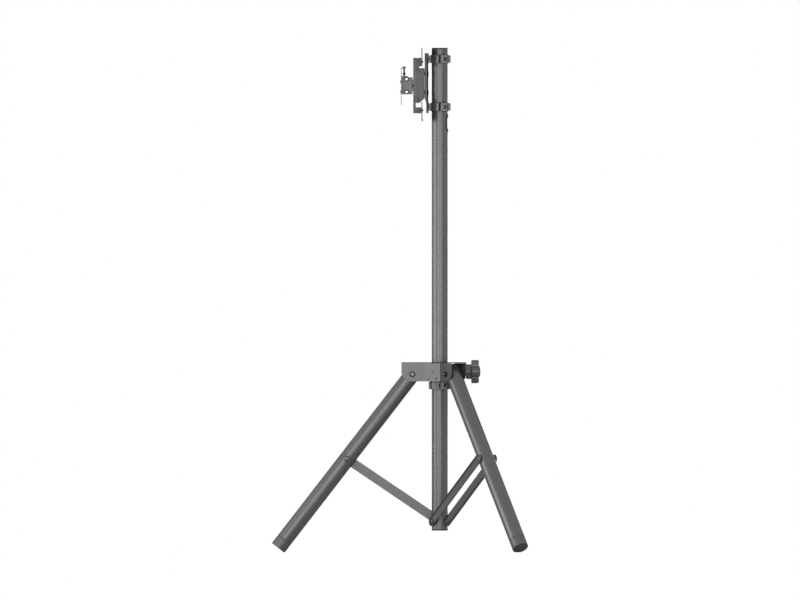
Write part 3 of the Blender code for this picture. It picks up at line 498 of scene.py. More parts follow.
def prism(outline, start, end, axis="Z", edge=0.0):
    """A flat outline pushed along an axis, with its rims rounded by the edge.

    Its points are (x, y) for Z, (x, z) for Y and (y, z) for X.
    """
    place = {
        "Z": lambda a, b, c: (a, b, c),
        "Y": lambda a, b, c: (a, c, b),
        "X": lambda a, b, c: (c, a, b),
    }[axis]
    levels = [(0.0, 0.0)]
    if edge:
        levels = [(edge * (1 - sin(radians(a))), edge * (1 - cos(radians(a)))) for a in (0, 30, 60, 90)]
    layers = [(depth, start + rise) for depth, rise in levels]
    layers += [(depth, end - rise) for depth, rise in reversed(levels)]
    rings = []
    for depth, height in layers:
        ring = inset(outline, depth) if depth > 1e-7 else outline
        rings.append([place(a, b, height) for a, b in ring])
    return skinned(rings)


def box(low, high, edge=0.0):
    outline = [(low[0], low[1]), (high[0], low[1]), (high[0], high[1]), (low[0], high[1])]
    if edge:
        outline = rounded(outline, edge * 1.5)
    return prism(outline, low[2], high[2], "Z", edge)


def threaded(radius, start, end, pitch, depth, sides):
    """A rod along X whose surface is one screw thread."""
    rows_per_turn, steepness = 6, 1.25
    rows = int((end - start) / pitch * rows_per_turn)
    rings = []
    for row in range(rows + 1):
        along = start + (end - start) * row / rows
        ring = []
        for i in range(sides):
            phase = ((along - start) / pitch - i / sides) % 1.0
            groove = abs(2 * phase - 1)
            reach = radius - depth * min(1.0, steepness * groove)
            angle = 2 * pi * i / sides
            ring.append((along, reach * cos(angle), reach * sin(angle)))
        rings.append(ring)
    return skinned(rings)


def hex_nut(across, start, end, axis="X", at=(0, 0, 0), bore_r=0.0):
    """A hexagon with its corners turned down at both ends, and a bore where its radius is given."""
    corner = across / sqrt(3)
    flat, full = across / 2 * 0.97, corner * 1.02
    drop = (corner - flat) * 0.55
    tall = rod(corner * 1.01, start, end, HEXAGON, axis, at)
    profile = [(0, start), (flat, start), (full, start + drop), (full, end - drop), (flat, end), (0, end)]
    cone = turned(profile, sides=48, axis=axis, at=at)
    nut = keep_inside(tall, cone)
    if bore_r:
        cut(nut, rod(bore_r, start - PAST, end + PAST, shape().bolt_sides, axis, at))
    return nut


def socket_screw(shank_r, head_r, head, length, socket_r, socket, at=(0, 0, 0)):
    """A socket-head screw along X: its head goes back from the point and its shank forward."""
    edge = min(0.0006, head * 0.2)
    profile = [(0, -head), (head_r, -head), (head_r, 0), (shank_r, 0), (shank_r, length), (0, length)]
    radii = [0, edge, edge * 0.4, 0, edge * 0.6, 0]
    screw = turned(rounded(profile, radii, closed=False), shape().bolt_sides, "X")
    cut(screw, rod(socket_r, -head - OVERLAP, -head + socket, HEXAGON, "X"))
    return moved(screw, Matrix.Translation(at))


def moved(obj, matrix):
    obj.data.transform(matrix)
    return obj


def around(azimuth):
    return Matrix.Rotation(azimuth, 4, "Z")


def up_by(height):
    return Matrix.Translation((0, 0, height))


def mirrored(obj):
    """The same shape on the other side of the XZ plane."""
    moved(obj, Matrix.Scale(-1, 4, (0, 1, 0)))
    obj.data.flip_normals()
    return obj


def duplicate(obj):
    return linked(obj.name, obj.data.copy())


# Finishes
FINISHES = {}


def add_node(tree, kind, inputs=None, **settings):
    """A new node with these settings. Each of its inputs is given a value or the socket that feeds it."""
    node = tree.nodes.new(kind)
    for key, setting in settings.items():
        setattr(node, key, setting)
    for key, source in (inputs or {}).items():
        if isinstance(source, bpy.types.NodeSocket):
            tree.links.new(source, node.inputs[key])
        else:
            node.inputs[key].default_value = source
    return node


def map_range(tree, source, low, high, start, end, interpolation="LINEAR"):
    """A socket that goes from start to end while the source goes from low to high."""
    limits = {"Value": source, "From Min": low, "From Max": high, "To Min": start, "To Max": end}
    return add_node(tree, "ShaderNodeMapRange", limits, interpolation_type=interpolation).outputs["Result"]


def opaque(colour):
    return (*colour, 1.0)


def finish_nodes(name, colour, roughness, metallic, grain, bump, spread, wear_and_highlight, ior, level):
    """A surface with fine grain in its bump, uneven tone and gloss, and paler edges that are part wear and
    part painted edge highlight.

    Its gloss fades where it is seen edge-on, as a textured coat's does.
    """
    material = bpy.data.materials.new(name)
    material.use_nodes = True
    tree = material.node_tree
    shader = tree.nodes["Principled BSDF"]
    shader.inputs["Metallic"].default_value = metallic
    shader.inputs["IOR"].default_value = ior

    place = add_node(tree, "ShaderNodeTexCoord").outputs["Object"]
    fine = add_node(tree, "ShaderNodeTexNoise",
                    {"Vector": place, "Scale": 1.0 / grain, "Detail": 3.0}).outputs["Fac"]
    broad = add_node(tree, "ShaderNodeTexNoise",
                     {"Vector": place, "Scale": 14.0, "Detail": 5.0, "Roughness": 0.6}).outputs["Fac"]
    relief = add_node(tree, "ShaderNodeBump", {"Strength": 0.4, "Distance": bump, "Height": fine})
    tree.links.new(relief.outputs["Normal"], shader.inputs["Normal"])

    tone = add_node(tree, "ShaderNodeValToRGB", {"Fac": broad})
    for stop, position, share in zip(tone.color_ramp.elements, (0.32, 0.70), (1 - spread, 1 + spread)):
        stop.position = position
        stop.color = opaque([c * share for c in colour])
    speck = map_range(tree, fine, 0.3, 0.7, 0.97, 1.03)
    grained = add_node(tree, "ShaderNodeVectorMath", {0: tone.outputs["Color"], "Scale": speck},
                       operation="SCALE")

    round_edge = add_node(tree, "ShaderNodeBevel", {"Radius": 0.0007}, samples=4)
    surface = add_node(tree, "ShaderNodeNewGeometry")
    normals = {0: round_edge.outputs["Normal"], 1: surface.outputs["Normal"]}
    facing = add_node(tree, "ShaderNodeVectorMath", normals, operation="DOT_PRODUCT")
    # Paler edges in patches: part wear, part painted edge highlight
    worn_and_lit_edges = map_range(tree, facing.outputs["Value"], 0.995, 0.90, 0.0, wear_and_highlight)
    patchy = add_node(tree, "ShaderNodeMath", {0: worn_and_lit_edges, 1: broad}, operation="MULTIPLY")
    paler, lifted = 2.4, 0.02
    worn_and_lit_colour = opaque([min(1.0, c * paler + lifted) for c in colour])
    tones = {"Factor": patchy.outputs["Value"], "A": grained.outputs["Vector"], "B": worn_and_lit_colour}
    blend = add_node(tree, "ShaderNodeMix", tones, data_type="RGBA")
    tree.links.new(blend.outputs["Result"], shader.inputs["Base Color"])

    edge_on = add_node(tree, "ShaderNodeLayerWeight", {"Blend": 0.5}).outputs["Facing"]
    fade = map_range(tree, edge_on, 0.36, 0.66, level, level * 0.08, "SMOOTHSTEP")
    tree.links.new(fade, shader.inputs["Specular IOR Level"])
    gloss = map_range(tree, broad, 0.3, 0.7, roughness - 0.03, roughness + 0.03)
    tree.links.new(gloss, shader.inputs["Roughness"])
    return material


def make_finishes():
    look = bpy.context.scene.stand_finish
    coat, peel, rough = look.coat_colour, look.coat_peel, look.coat_roughness
    dim = [c * 0.8 for c in coat]
    shade = [c * 0.45 for c in coat]
    # Slot, material, colour, roughness, metal, grain, bump, uneven tone, edge wear and painted edge
    # highlight, IOR and gloss
    for slot, name, *values in (
            ("powder_coat", "charcoal_powder_coat", coat, rough, 0.0, peel, 0.00002, 0.03, 0.30, 1.67, 0.50),
            # A darker, less glossy copy of the powder coat: painted shade on the mount plates, the stop
            # collar and the bracket screws
            ("plate_coat", "matt_powder_coat", dim, rough + 0.04, 0.0, peel, 0.00002, 0.03, 0.30, 1.67, 0.34),
            # A much darker copy of the powder coat: painted shade on the hub's cover and the rails
            ("cover_coat", "black_powder_coat", shade, rough + 0.06, 0.0, peel, 0.00002, 0.03, 0.30, 1.58,
             0.20),
            ("black_plastic", "black_moulded_plastic", look.plastic_colour, 0.46, 0.0, 0.0007, 0.00004, 0.10,
             0.35, 1.5, 0.30),
            ("knob_plastic", "charcoal_moulded_plastic", look.knob_colour, 0.42, 0.0, 0.0007, 0.00004, 0.08,
             0.35, 1.67, 0.50),
            ("rubber", "black_rubber", look.rubber_colour, 0.72, 0.0, 0.0009, 0.00008, 0.18, 0.50, 1.4, 0.40),
            ("foot_rubber", "charcoal_foot_rubber", look.foot_colour, 0.42, 0.0, 0.0009, 0.00005, 0.10, 0.50,
             1.67, 0.46),
            ("dark_steel", "blackened_steel", look.dark_steel_colour, 0.42, 0.2, 0.0004, 0.00002, 0.15, 0.60,
             1.45, 0.30),
            ("dull_steel", "dull_zinc_steel", look.dull_steel_colour, 0.44, 0.9, 0.0005, 0.00002, 0.10, 0.20,
             1.5, 0.50),
            ("bright_steel", "zinc_plated_steel", look.bright_steel_colour, 0.40, 0.9, 0.0005, 0.00002, 0.10,
             0.20, 1.5, 0.50)):
        FINISHES[slot] = finish_nodes(name, *values)


def settle(obj, name, body, slot, *nodes, finish=None):
    """Finish a piece: its place on the stand, name, material and smooth faces, its body and its CAD nodes.

    The finish is the slot's own, unless another one is named.
    """
    same_place, sharp = 1e-6, radians(38)
    moved(obj, Matrix.Translation((COLUMN_X, 0, 0)))
    bm = bmesh.new()
    bm.from_mesh(obj.data)
    bmesh.ops.remove_doubles(bm, verts=bm.verts, dist=same_place)
    bmesh.ops.dissolve_degenerate(bm, edges=bm.edges, dist=same_place)
    bm.to_mesh(obj.data)
    bm.free()
    obj.data.shade_smooth()
    obj.data.set_sharp_from_angle(angle=sharp)
    weighted = obj.modifiers.new("weighted", "WEIGHTED_NORMAL")
    weighted.keep_sharp = True
    baked(obj)
    obj.name = name
    obj.data.name = name
    obj.data.materials.clear()
    obj.data.materials.append(FINISHES[finish or slot])
    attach(obj, body)
    if nodes:
        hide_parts(*nodes)
    return obj


# Column
def build_column_tube():
    sides = shape().tube_sides
    tube = pipe(TUBE_R, TUBE_R - TUBE_WALL, TUBE_FOOT_Z, TUBE_TOP_Z, sides, edge=0.0003)
    neck = GROMMET_NECK + GAP
    outlet = stadium(OUTLET_R + neck, OUTLET_HALF + neck, (0, OUTLET_Z))
    cut(tube, prism(outlet, TUBE_R / 2, TUBE_R * 1.5, "X"))
    for azimuth in LEGS.values():
        pivot = hole(M8, TUBE_R / 2, TUBE_R * 1.5, "X", (0, 0, BRACE_PIVOT_Z))
        cut(tube, moved(pivot, around(azimuth - pi / 2)))
    settle(tube, "pole_tube", "column", "powder_coat", "column_tube")


def build_column_caps():
    """Push-in caps with a rounded brim, a shallow ring groove and a hollow plug."""
    plug_r = TUBE_R - TUBE_WALL - GAP
    plug_wall = 0.002
    groove, groove_in, groove_out, slope = 0.0006, 0.0150, 0.0168, 0.0003
    for name, node, seat, outside, way in (
            ("pole_bottom_cap", "column_bottom_cap", TUBE_FOOT_Z, COLUMN_FOOT_Z, 1),
            ("pole_top_cap", "column_top_cap", TUBE_TOP_Z, COLUMN_TOP_Z, -1)):
        brim_in = seat - way * GAP
        plug_end = seat + way * CAP_PLUG
        deep = outside + way * groove
        profile = [(0, outside), (groove_in, outside), (groove_in + slope, deep), (groove_out - slope, deep),
                   (groove_out, outside), (TUBE_R, outside), (TUBE_R, brim_in), (plug_r, brim_in),
                   (plug_r, plug_end), (plug_r - plug_wall, plug_end), (plug_r - plug_wall, brim_in),
                   (0, brim_in)]
        radii = [0, 0.0002, 0.0002, 0.0002, 0.0002, 0.0016, 0.0003, 0, 0.0006, 0.0003, 0, 0]
        cap = turned(rounded(profile, radii, steps=4, closed=False), shape().tube_sides)
        settle(cap, name, "column", "black_plastic", node)


def build_grommet():
    """A moulded rim that lines the oval cable outlet."""
    sides = shape().tube_sides
    rim_skin, lip_skin, depth, reach = 0.0018, 0.001, 0.004, 0.04
    foot, top = OUTLET_Z - reach, OUTLET_Z + reach
    flange = pipe(TUBE_R + rim_skin, TUBE_R + GAP, foot, top, sides)
    rim = stadium(OUTLET_R + GROMMET_RIM, OUTLET_HALF + GROMMET_RIM, (0, OUTLET_Z))
    keep_inside(flange, prism(rim, TUBE_R / 2, TUBE_R * 1.5, "X"))
    lip = pipe(TUBE_R + lip_skin, TUBE_R - depth, foot, top, sides)
    neck = stadium(OUTLET_R + GROMMET_NECK, OUTLET_HALF + GROMMET_NECK, (0, OUTLET_Z))
    keep_inside(lip, prism(neck, TUBE_R / 2, TUBE_R * 1.5, "X"))
    fuse(flange, lip)
    cut(flange, prism(stadium(OUTLET_R, OUTLET_HALF, (0, OUTLET_Z)), 0, TUBE_R * 1.5, "X"))
    soften(flange, 0.0006)
    settle(flange, "cable_outlet_rim", "column", "black_plastic", "cable_grommet")


def build_foot_pivots():
    """Each bolt goes through the column's wall and a brace. Its domed head has a hex socket."""
    nut_in, nut_out, nut_width = 0.017, 0.0205, 0.013
    seat = BRACE_SIDE - BRACE_DEPTH / 2 + PLATE_SHEET + GAP
    head_r, head, socket_r, socket = 0.0085, 0.0045, 0.0029, 0.0026
    for name, azimuth in LEGS.items():
        top = seat + head
        profile = [(0, nut_out - OVERLAP), (M8, nut_out - OVERLAP), (M8, seat), (head_r, seat),
                   (head_r, seat + head * 0.35), (head_r * 0.82, seat + head * 0.72), (head_r * 0.5, top),
                   (0, top)]
        radii = [0, 0, 0, 0.0003, 0.002, 0.004, 0.004, 0]
        bolt = turned(rounded(profile, radii, steps=4, closed=False), shape().bolt_sides, "X")
        cut(bolt, rod(socket_r, top - socket, top + OVERLAP, HEXAGON, "X"))
        fuse(bolt, hex_nut(nut_width, nut_in, nut_out))
        moved(bolt, around(azimuth - pi / 2) @ up_by(BRACE_PIVOT_Z))
        settle(bolt, f"{name}_brace_foot_bolt", "column", "bright_steel", f"{name}_brace_pivot_bolt",
               finish="dull_steel")


# Pipe clamps
def clamp_half(height, side, bore_r):
    """One half of a split clamp. Side is -1 for the front half and 1 for the rear half."""
    sides, edge = shape().tube_sides, shape().edge * 1.6
    half = CLAMP_HEIGHT / 2
    foot, top = height - half, height + half
    below, above = foot - PAST, top + PAST
    screw_end, screw_start = -0.0145, 0.020
    ring = pipe(CLAMP_RING, bore_r, foot, top, sides, edge=edge)
    x_low, x_high = sorted((side * CLAMP_SPLIT, side * CLAMP_EAR_X))
    ears = box((x_low, -CLAMP_EAR_Y, foot), (x_high, CLAMP_EAR_Y, top), edge)
    pad_root, pad_half = 0.020, half - 0.0012
    x_low, x_high = sorted((side * pad_root, side * CLAMP_PAD_X))
    pad = box((x_low, -CLAMP_PAD_HALF, height - pad_half), (x_high, CLAMP_PAD_HALF, height + pad_half), edge)
    for block in (ears, pad):
        cut(block, rod(bore_r + OVERLAP, below, above, sides))
    x_low, x_high = sorted((-side * THROUGH, side * CLAMP_SPLIT))
    cut(ring, box((x_low, -CLEAR_OF_CLAMP, below), (x_high, CLEAR_OF_CLAMP, above)))
    fuse(ring, ears, pad)
    for way in (-1, 1):
        y = way * CLAMP_SCREW_Y
        if side > 0:
            # A pocket, open at the side, in which the screw's head lies
            pocket_half, pocket_side, wall = 0.0065, 0.0055, 0.0015
            inner, outer = sorted((y - way * pocket_side, way * CLEAR_OF_CLAMP))
            seat, back = CLAMP_SCREW_SEAT - GAP, CLAMP_EAR_X - wall
            pocket = rounded([(seat, height - pocket_half), (back, height - pocket_half),
                              (back, height + pocket_half), (seat, height + pocket_half)], 0.0018)
            cut(ring, prism(pocket, inner, outer, "Y"))
        else:
            # The ear's front corner is cut off at a slope
            face, slope_x, slope_y = -0.012, -0.030, 0.0275
            corner = prism([(face, CLEAR_OF_CLAMP), (face, CLAMP_EAR_Y), (slope_x, slope_y),
                            (-CLEAR_OF_CLAMP, slope_y), (-CLEAR_OF_CLAMP, CLEAR_OF_CLAMP)], below, above)
            cut(ring, corner if way > 0 else mirrored(corner))
        bore(ring, M6, screw_end, screw_start, "X", [(0, y, height)])
    return ring


def build_clamp_screws(prefix, height, body):
    head_r, head, length, socket_r, socket = 0.005, 0.0055, 0.0270, 0.0026, 0.003
    for side, y in (("right", -CLAMP_SCREW_Y), ("left", CLAMP_SCREW_Y)):
        screw = socket_screw(M6, head_r, head, length, socket_r, socket)
        moved(screw, Matrix.Translation((CLAMP_SCREW_SEAT, y, height)) @ around(pi))
        settle(screw, f"{prefix}_bolt_{side}", body, "dark_steel", f"{prefix}_screw_{side}")


def liner_ring(outer, height, half):
    """A slit rubber sleeve that shows as a thin rim above and below its clamp."""
    slit = 0.0012
    ring = pipe(outer, TUBE_R + GAP, height - half, height + half, shape().tube_sides, edge=0.0003)
    return cut(ring, box((-slit, 0, height - CLAMP_HEIGHT), (slit, CLEAR_OF_CLAMP, height + CLAMP_HEIGHT)))


def build_stop_collar():
    for name, side in (("front", -1), ("rear", 1)):
        half = clamp_half(STOP_Z, side, TUBE_R + GAP)
        # Both halves take the darker copy of the coat, as painted shade
        settle(half, f"stop_clamp_{name}", "column", "powder_coat", f"stop_collar_{name}",
               finish="plate_coat")
    build_clamp_screws("stop_collar", STOP_Z, "column")


# Hub, drawn from the column's axis at the height of the leg pivots
def arm_root(side_offset, distance):
    """How far from the column's axis an arm's side wall meets a face of the hub."""
    return (distance - side_offset * sin(HALF_SPREAD)) / cos(HALF_SPREAD)


def hub_side_outline():
    """Plan of one side plate: a flat face square to +X with an arm wall bent back on each side of it."""
    bend = shape().bend
    strips = []
    for distance, offset, radius in ((FACE_DISTANCE, ARM_OUTER, bend + SHEET),
                                     (FACE_DISTANCE - SHEET, ARM_OUTER - SHEET, bend)):
        corner_y = arm_root(offset, distance) * sin(HALF_SPREAD) - offset * cos(HALF_SPREAD)
        end_x = ARM_LENGTH * cos(HALF_SPREAD) + offset * sin(HALF_SPREAD)
        end_y = ARM_LENGTH * sin(HALF_SPREAD) - offset * cos(HALF_SPREAD)
        strip = [(end_x, end_y), (distance, corner_y), (distance, -corner_y), (end_x, -end_y)]
        strips.append(rounded(strip, radius * 1.6, steps=5, closed=False))
    return strips[0] + strips[1][::-1]


def build_hub_side_plates():
    plate = prism(hub_side_outline(), HUB_FOOT, HUB_TOP - HUB_PLATE - GAP)
    past, below = ARM_LENGTH + OVERLAP, HUB_FOOT - OVERLAP
    corner = [(past, below), (past, HUB_FOOT + ARM_CORNER_R)]
    centre = (ARM_LENGTH - ARM_CORNER_R, HUB_FOOT + ARM_CORNER_R)
    corner += arc(centre, ARM_CORNER_R, 0, -90, steps=16)
    corner += [(ARM_LENGTH - ARM_CORNER_R, below)]
    for arm in (-HALF_SPREAD, HALF_SPREAD):
        cut(plate, moved(prism(corner, -WIDE, WIDE, "Y"), around(arm)))
    soften(plate)
    for arm in (-HALF_SPREAD, HALF_SPREAD):
        pivot = hole(M8, 0, WIDE, "Y", (ARM_REACH, 0, 0))
        cut(plate, moved(pivot if arm < 0 else mirrored(pivot), around(arm)))
    face_in, face_out = FACE_DISTANCE - PAST, FACE_DISTANCE + PAST
    bore(plate, M12, face_in, face_out, "X", at_heights(KNOB_ABOVE_PIVOT))
    rivets = [(0, y, HUB_FOOT + RIVET_RISE) for y in (-RIVET_SPREAD, RIVET_SPREAD)]
    bore(plate, M5, face_in, face_out, "X", rivets, sides=20)
    for name, azimuth in FACES.items():
        copy = moved(duplicate(plate), up_by(PIVOT_Z) @ around(azimuth))
        settle(copy, f"hub_wall_{name}", "hub", "powder_coat", f"hub_side_plate_{name}")
    bpy.data.objects.remove(plate, do_unlink=True)


def build_hub_top():
    """The flat three-armed plate on top of the hub, and the plastic bush that guides it on the column."""
    root = arm_root(ARM_OUTER, FACE_DISTANCE)
    outline, radii = [], []
    for azimuth in (-HALF_SPREAD, HALF_SPREAD, pi):
        turn = Matrix.Rotation(azimuth, 2)
        for corner, radius in (((root, -ARM_OUTER), 0.006), ((ARM_LENGTH, -ARM_OUTER), 0.004),
                               ((ARM_LENGTH, ARM_OUTER), 0.004), ((root, ARM_OUTER), 0.006)):
            outline.append(tuple(turn @ Vector(corner)))
            radii.append(radius)
    top_plate = prism(rounded(outline, radii, steps=6), HUB_TOP - HUB_PLATE, HUB_TOP, edge=0.0006)
    cut(top_plate, rod(TUBE_R + 2 * GAP, HUB_TOP - PAST, HUB_TOP + PAST, shape().tube_sides))
    moved(top_plate, up_by(PIVOT_Z))
    # The cover takes the much darker copy of the coat, which paints shade on its rim
    settle(top_plate, "hub_cover", "hub", "powder_coat", "hub_top_plate", finish="cover_coat")

    bush_top, above_stop = HUB_TOP - HUB_PLATE - GAP, 0.0013
    bush_foot = STOP_Z + CLAMP_HEIGHT / 2 + above_stop - PIVOT_Z
    bush_r, flange_r, flange, inner_r, shoe_r = 0.0295, 0.0320, 0.003, TUBE_R + GAP, 0.0086
    profile = [(bush_r, bush_top), (inner_r, bush_top), (inner_r, bush_foot), (flange_r, bush_foot),
               (flange_r, bush_foot + flange), (bush_r, bush_foot + flange)]
    bush = turned(rounded(profile, [0.0004, 0.0004, 0.0005, 0.0007, 0.0007, 0]), shape().tube_sides)
    shoe_start, shoe_end = 0.015, 0.060
    cut(bush, rod(shoe_r, shoe_start, shoe_end, shape().bolt_sides, "X", (0, 0, KNOB_ABOVE_PIVOT)))
    settle(moved(bush, up_by(PIVOT_Z)), "hub_guide_sleeve", "hub", "black_plastic", "hub_guide_bush")


def build_leg_pivots():
    """A light bolt through each arm, with a dark washer and a dark nut or head at each end."""
    seat = ARM_OUTER + GAP
    washer_r, washer, nut, head, nut_width = 0.0092, 0.0018, 0.0070, 0.0055, 0.0134
    for name, azimuth in LEGS.items():
        end = seat + head
        profile = [(0, -seat - nut), (M8, -seat - nut), (M8, end), (0, end)]
        profile = rounded(profile, [0, 0.0006, 0.0006, 0], closed=False)
        bolt = turned(profile, shape().bolt_sides, "Y", (ARM_REACH, 0, 0))
        place = up_by(PIVOT_Z) @ around(azimuth)
        settle(moved(bolt, place), f"{name}_leg_bolt", "hub", "bright_steel", f"{name}_leg_pivot_bolt")
        for side, near, far in (("right", -seat, -seat - nut + OVERLAP), ("left", seat, end - OVERLAP)):
            step = washer if far > 0 else -washer
            low, high = sorted((near, near + step))
            ring = pipe(washer_r, M8 + GAP, low, high, shape().bolt_sides, "Y", edge=0.0003)
            low, high = sorted((near + step, far))
            fuse(ring, hex_nut(nut_width, low, high, "Y", bore_r=M8 + GAP))
            moved(ring, place @ Matrix.Translation((ARM_REACH, 0, 0)))
            settle(ring, f"{name}_leg_nut_{side}", "hub", "dark_steel")


# Hub clamp, drawn from the column's axis at the knob's height
def build_hub_clamp():
    lift = up_by(KNOB_Z)
    nut_width, nut_depth = 0.022, 0.010
    nut_start = FACE_DISTANCE + GAP
    nut = hex_nut(nut_width, nut_start, nut_start + nut_depth, bore_r=M12 + GAP)
    settle(moved(nut, lift), "clamp_weld_nut", "hub", "dark_steel", "clamp_nut")

    pad_r, pad_start, pad_end, past_pad = 0.008, 0.018, 0.0325, 0.02
    pad = rod(pad_r, pad_start, pad_end, shape().bolt_sides, "X")
    cut(pad, rod(TUBE_R + GAP, -past_pad, past_pad, shape().tube_sides))
    settle(moved(pad, lift), "clamp_shoe", "clamp_pad", "rubber", "clamp_pad")

    pitch, depth, sides = shape().thread_pitch, 0.0009, 32
    thread_end, core_start, core_end = KNOB_SKIRT_X + 0.004, KNOB_SKIRT_X + 0.003, KNOB_END_X - 0.007
    stud = threaded(M12, pad_end + GAP, thread_end, pitch, depth, sides)
    fuse(stud, rod(M12 - depth, core_start, core_end, sides, "X"))
    settle(moved(stud, lift), "clamp_threaded_stud", "knob", "bright_steel", "clamp_stud")


def knob_ring(scale, along, sides):
    """One section of the knob's four-lobed head. A bluntness under 1 widens the lobes."""
    lobes, bluntness = 4, 0.62
    ring = []
    for i in range(sides):
        angle = 2 * pi * i / sides
        swell = (1 + cos(lobes * angle)) / 2
        radius = (KNOB_VALLEY_R + KNOB_LOBE * swell ** bluntness) * scale
        ring.append((along, radius * cos(angle), radius * sin(angle)))
    return ring


def build_knob():
    """A four-lobed star knob on a round skirt, with rounded rims, a sunk face and a crowned cap."""
    sides, end = 128, KNOB_END_X
    # The scale of each section and its place along X
    sections = [(0.90, KNOB_HEAD_X), (0.945, KNOB_HEAD_X + 0.0006), (0.98, KNOB_HEAD_X + 0.0020),
                (0.997, KNOB_HEAD_X + 0.0042), (1.0, KNOB_HEAD_X + 0.0080), (1.0, end - 0.0085),
                (0.994, end - 0.0050), (0.975, end - 0.0024), (0.94, end - 0.0008), (0.89, end),
                (0.80, end - 0.0002), (0.70, end - 0.0012), (0.60, end - 0.0022), (0.48, end - 0.0026)]
    head = skinned([knob_ring(scale, along, sides) for scale, along in sections])
    skirt_r, skirt_end, round_sides = 0.0230, KNOB_HEAD_X + 0.003, 96
    neck_r = skirt_r - 0.0012
    skirt = [(0, KNOB_SKIRT_X), (skirt_r, KNOB_SKIRT_X), (skirt_r, KNOB_HEAD_X - 0.0012),
             (neck_r, KNOB_HEAD_X - 0.0006), (neck_r, skirt_end), (0, skirt_end)]
    skirt = rounded(skirt, [0, 0.0012, 0.0005, 0.0004, 0, 0], closed=False)
    fuse(head, turned(skirt, round_sides, "X"))
    crown_r, crown, rim, root = 0.0170, 0.0051, 0.12, end - 0.006
    cap = [(0, root), (crown_r, root), (crown_r, end + crown * rim)]
    cap += domed(crown_r, end, crown, rim, range(12, 90, 12)) + [(0, end + crown)]
    fuse(head, turned(cap, round_sides, "X"))
    bore_end = end - 0.0067
    cut(head, rod(M12 + GAP, KNOB_SKIRT_X - PAST, bore_end, shape().bolt_sides, "X"))
    settle(moved(head, up_by(KNOB_Z)), "star_knob", "knob", "black_plastic", "knob_head",
           finish="knob_plastic")


# Legs, drawn with the pivot at the origin, its axis along X and the foot down along -Z
def leg_place(azimuth):
    out = Vector((cos(azimuth) * ARM_REACH, sin(azimuth) * ARM_REACH, PIVOT_Z))
    return Matrix.Translation(out) @ around(azimuth + pi / 2) @ Matrix.Rotation(-LEG_ANGLE, 4, "X")


def build_leg(name, azimuth):
    sides = shape().tube_sides
    place = leg_place(azimuth)
    body = f"{name}_leg"
    foot_end = -LEG_LENGTH
    sole = 0.004
    tube_end = foot_end + sole
    sleeve_top = foot_end + FOOT_SLEEVE
    thin = TUBE_R - FOOT_EDGE
    profile = [(TUBE_R, LEG_STUB), (TUBE_R - TUBE_WALL, LEG_STUB), (TUBE_R - TUBE_WALL, tube_end),
               (thin, tube_end), (thin, sleeve_top + GAP), (TUBE_R, sleeve_top + FOOT_EDGE + GAP)]
    tube = turned(rounded(profile, [0.0004, 0.0004, 0.0003, 0.0003, 0, 0.0004]), sides)
    past_tube = 0.03
    bore(tube, M8, -past_tube, past_tube, "X", at_heights(0, -BRACE_ON_LEG))
    settle(moved(tube, place), f"{name}_leg_pipe", body, "powder_coat", f"{name}_leg_tube")

    # Ring grooves under the sole, and one groove round the sleeve
    lip, groove, slope, width = 0.0005, foot_end + 0.0012, 0.0003, 0.0016
    cap = [(0, foot_end)]
    for ring_r in (0.0080, 0.0140, 0.0206):
        cap += [(ring_r, foot_end), (ring_r + slope, groove), (ring_r + width - slope, groove),
                (ring_r + width, foot_end)]
    inner, inner_end = thin + GAP, tube_end - GAP
    cap += [(TUBE_R, foot_end), (TUBE_R, sleeve_top - 0.004), (TUBE_R - lip, sleeve_top - 0.0035),
            (TUBE_R - lip, sleeve_top - 0.0025), (TUBE_R, sleeve_top - 0.002), (TUBE_R, sleeve_top),
            (inner, sleeve_top), (inner, inner_end), (0, inner_end)]
    radii = [0] + [0.0002] * 12 + [0.0016, 0.0003, 0.0002, 0.0002, 0.0003, 0.0004, 0.0002, 0, 0]
    foot = turned(rounded(cap, radii, closed=False), sides)
    floor = box((-THROUGH, -THROUGH, -THROUGH), (THROUGH, THROUGH, 0))
    foot_place = Matrix.Translation((0, -LEG_LENGTH * sin(LEG_ANGLE), -PIVOT_Z))
    cut(foot, moved(floor, Matrix.Rotation(LEG_ANGLE, 4, "X") @ foot_place))
    settle(moved(foot, place), f"{name}_foot", body, "rubber", f"{name}_foot_cap", finish="foot_rubber")

    seat = TUBE_R + GAP
    head_r, dome, socket_r, bolt_sides = 0.0100, 0.0078, 0.0035, 48
    profile = [(0, -TUBE_R), (M8, -TUBE_R), (M8, seat), (head_r, seat)]
    profile += domed(head_r, seat, dome, 0.18, range(0, 66, 11)) + [(0, seat + dome * 0.96)]
    bolt = turned(profile, bolt_sides, "X")
    cut(bolt, rod(socket_r, seat + dome * 0.5, seat + dome + OVERLAP, HEXAGON, "X"))
    moved(bolt, place @ Matrix.Translation((0, 0, -BRACE_ON_LEG)))
    settle(bolt, f"{name}_leg_dome_bolt", body, "dark_steel", f"{name}_brace_bolt", finish="powder_coat")


# Braces, drawn with the pivot at the origin, its axis along X and the bar up Z
def brace_turn(azimuth):
    return up_by(BRACE_PIVOT_Z) @ around(azimuth + pi / 2) @ Matrix.Rotation(pi / 2 - BRACE_ANGLE, 4, "X")


def build_brace(name, azimuth):
    half, middle = BRACE_WIDTH / 2, BRACE_LENGTH / 2
    near = -(BRACE_SIDE - BRACE_DEPTH / 2)
    far = near - BRACE_DEPTH
    bar = prism(stadium(half, middle + half, (0, middle), steps=24), far, near, "X", edge=0.0007)
    hollow = stadium(half - SHEET, middle + half - SHEET, (0, middle), steps=24)
    cut(bar, prism(hollow, far - PAST, near - PLATE_SHEET, "X", edge=0.0008))
    bore(bar, M8, -THROUGH, 0, "X", at_heights(0, BRACE_LENGTH))
    moved(bar, brace_turn(azimuth))
    settle(bar, f"{name}_brace_bar", f"{name}_brace", "powder_coat", f"{name}_brace")


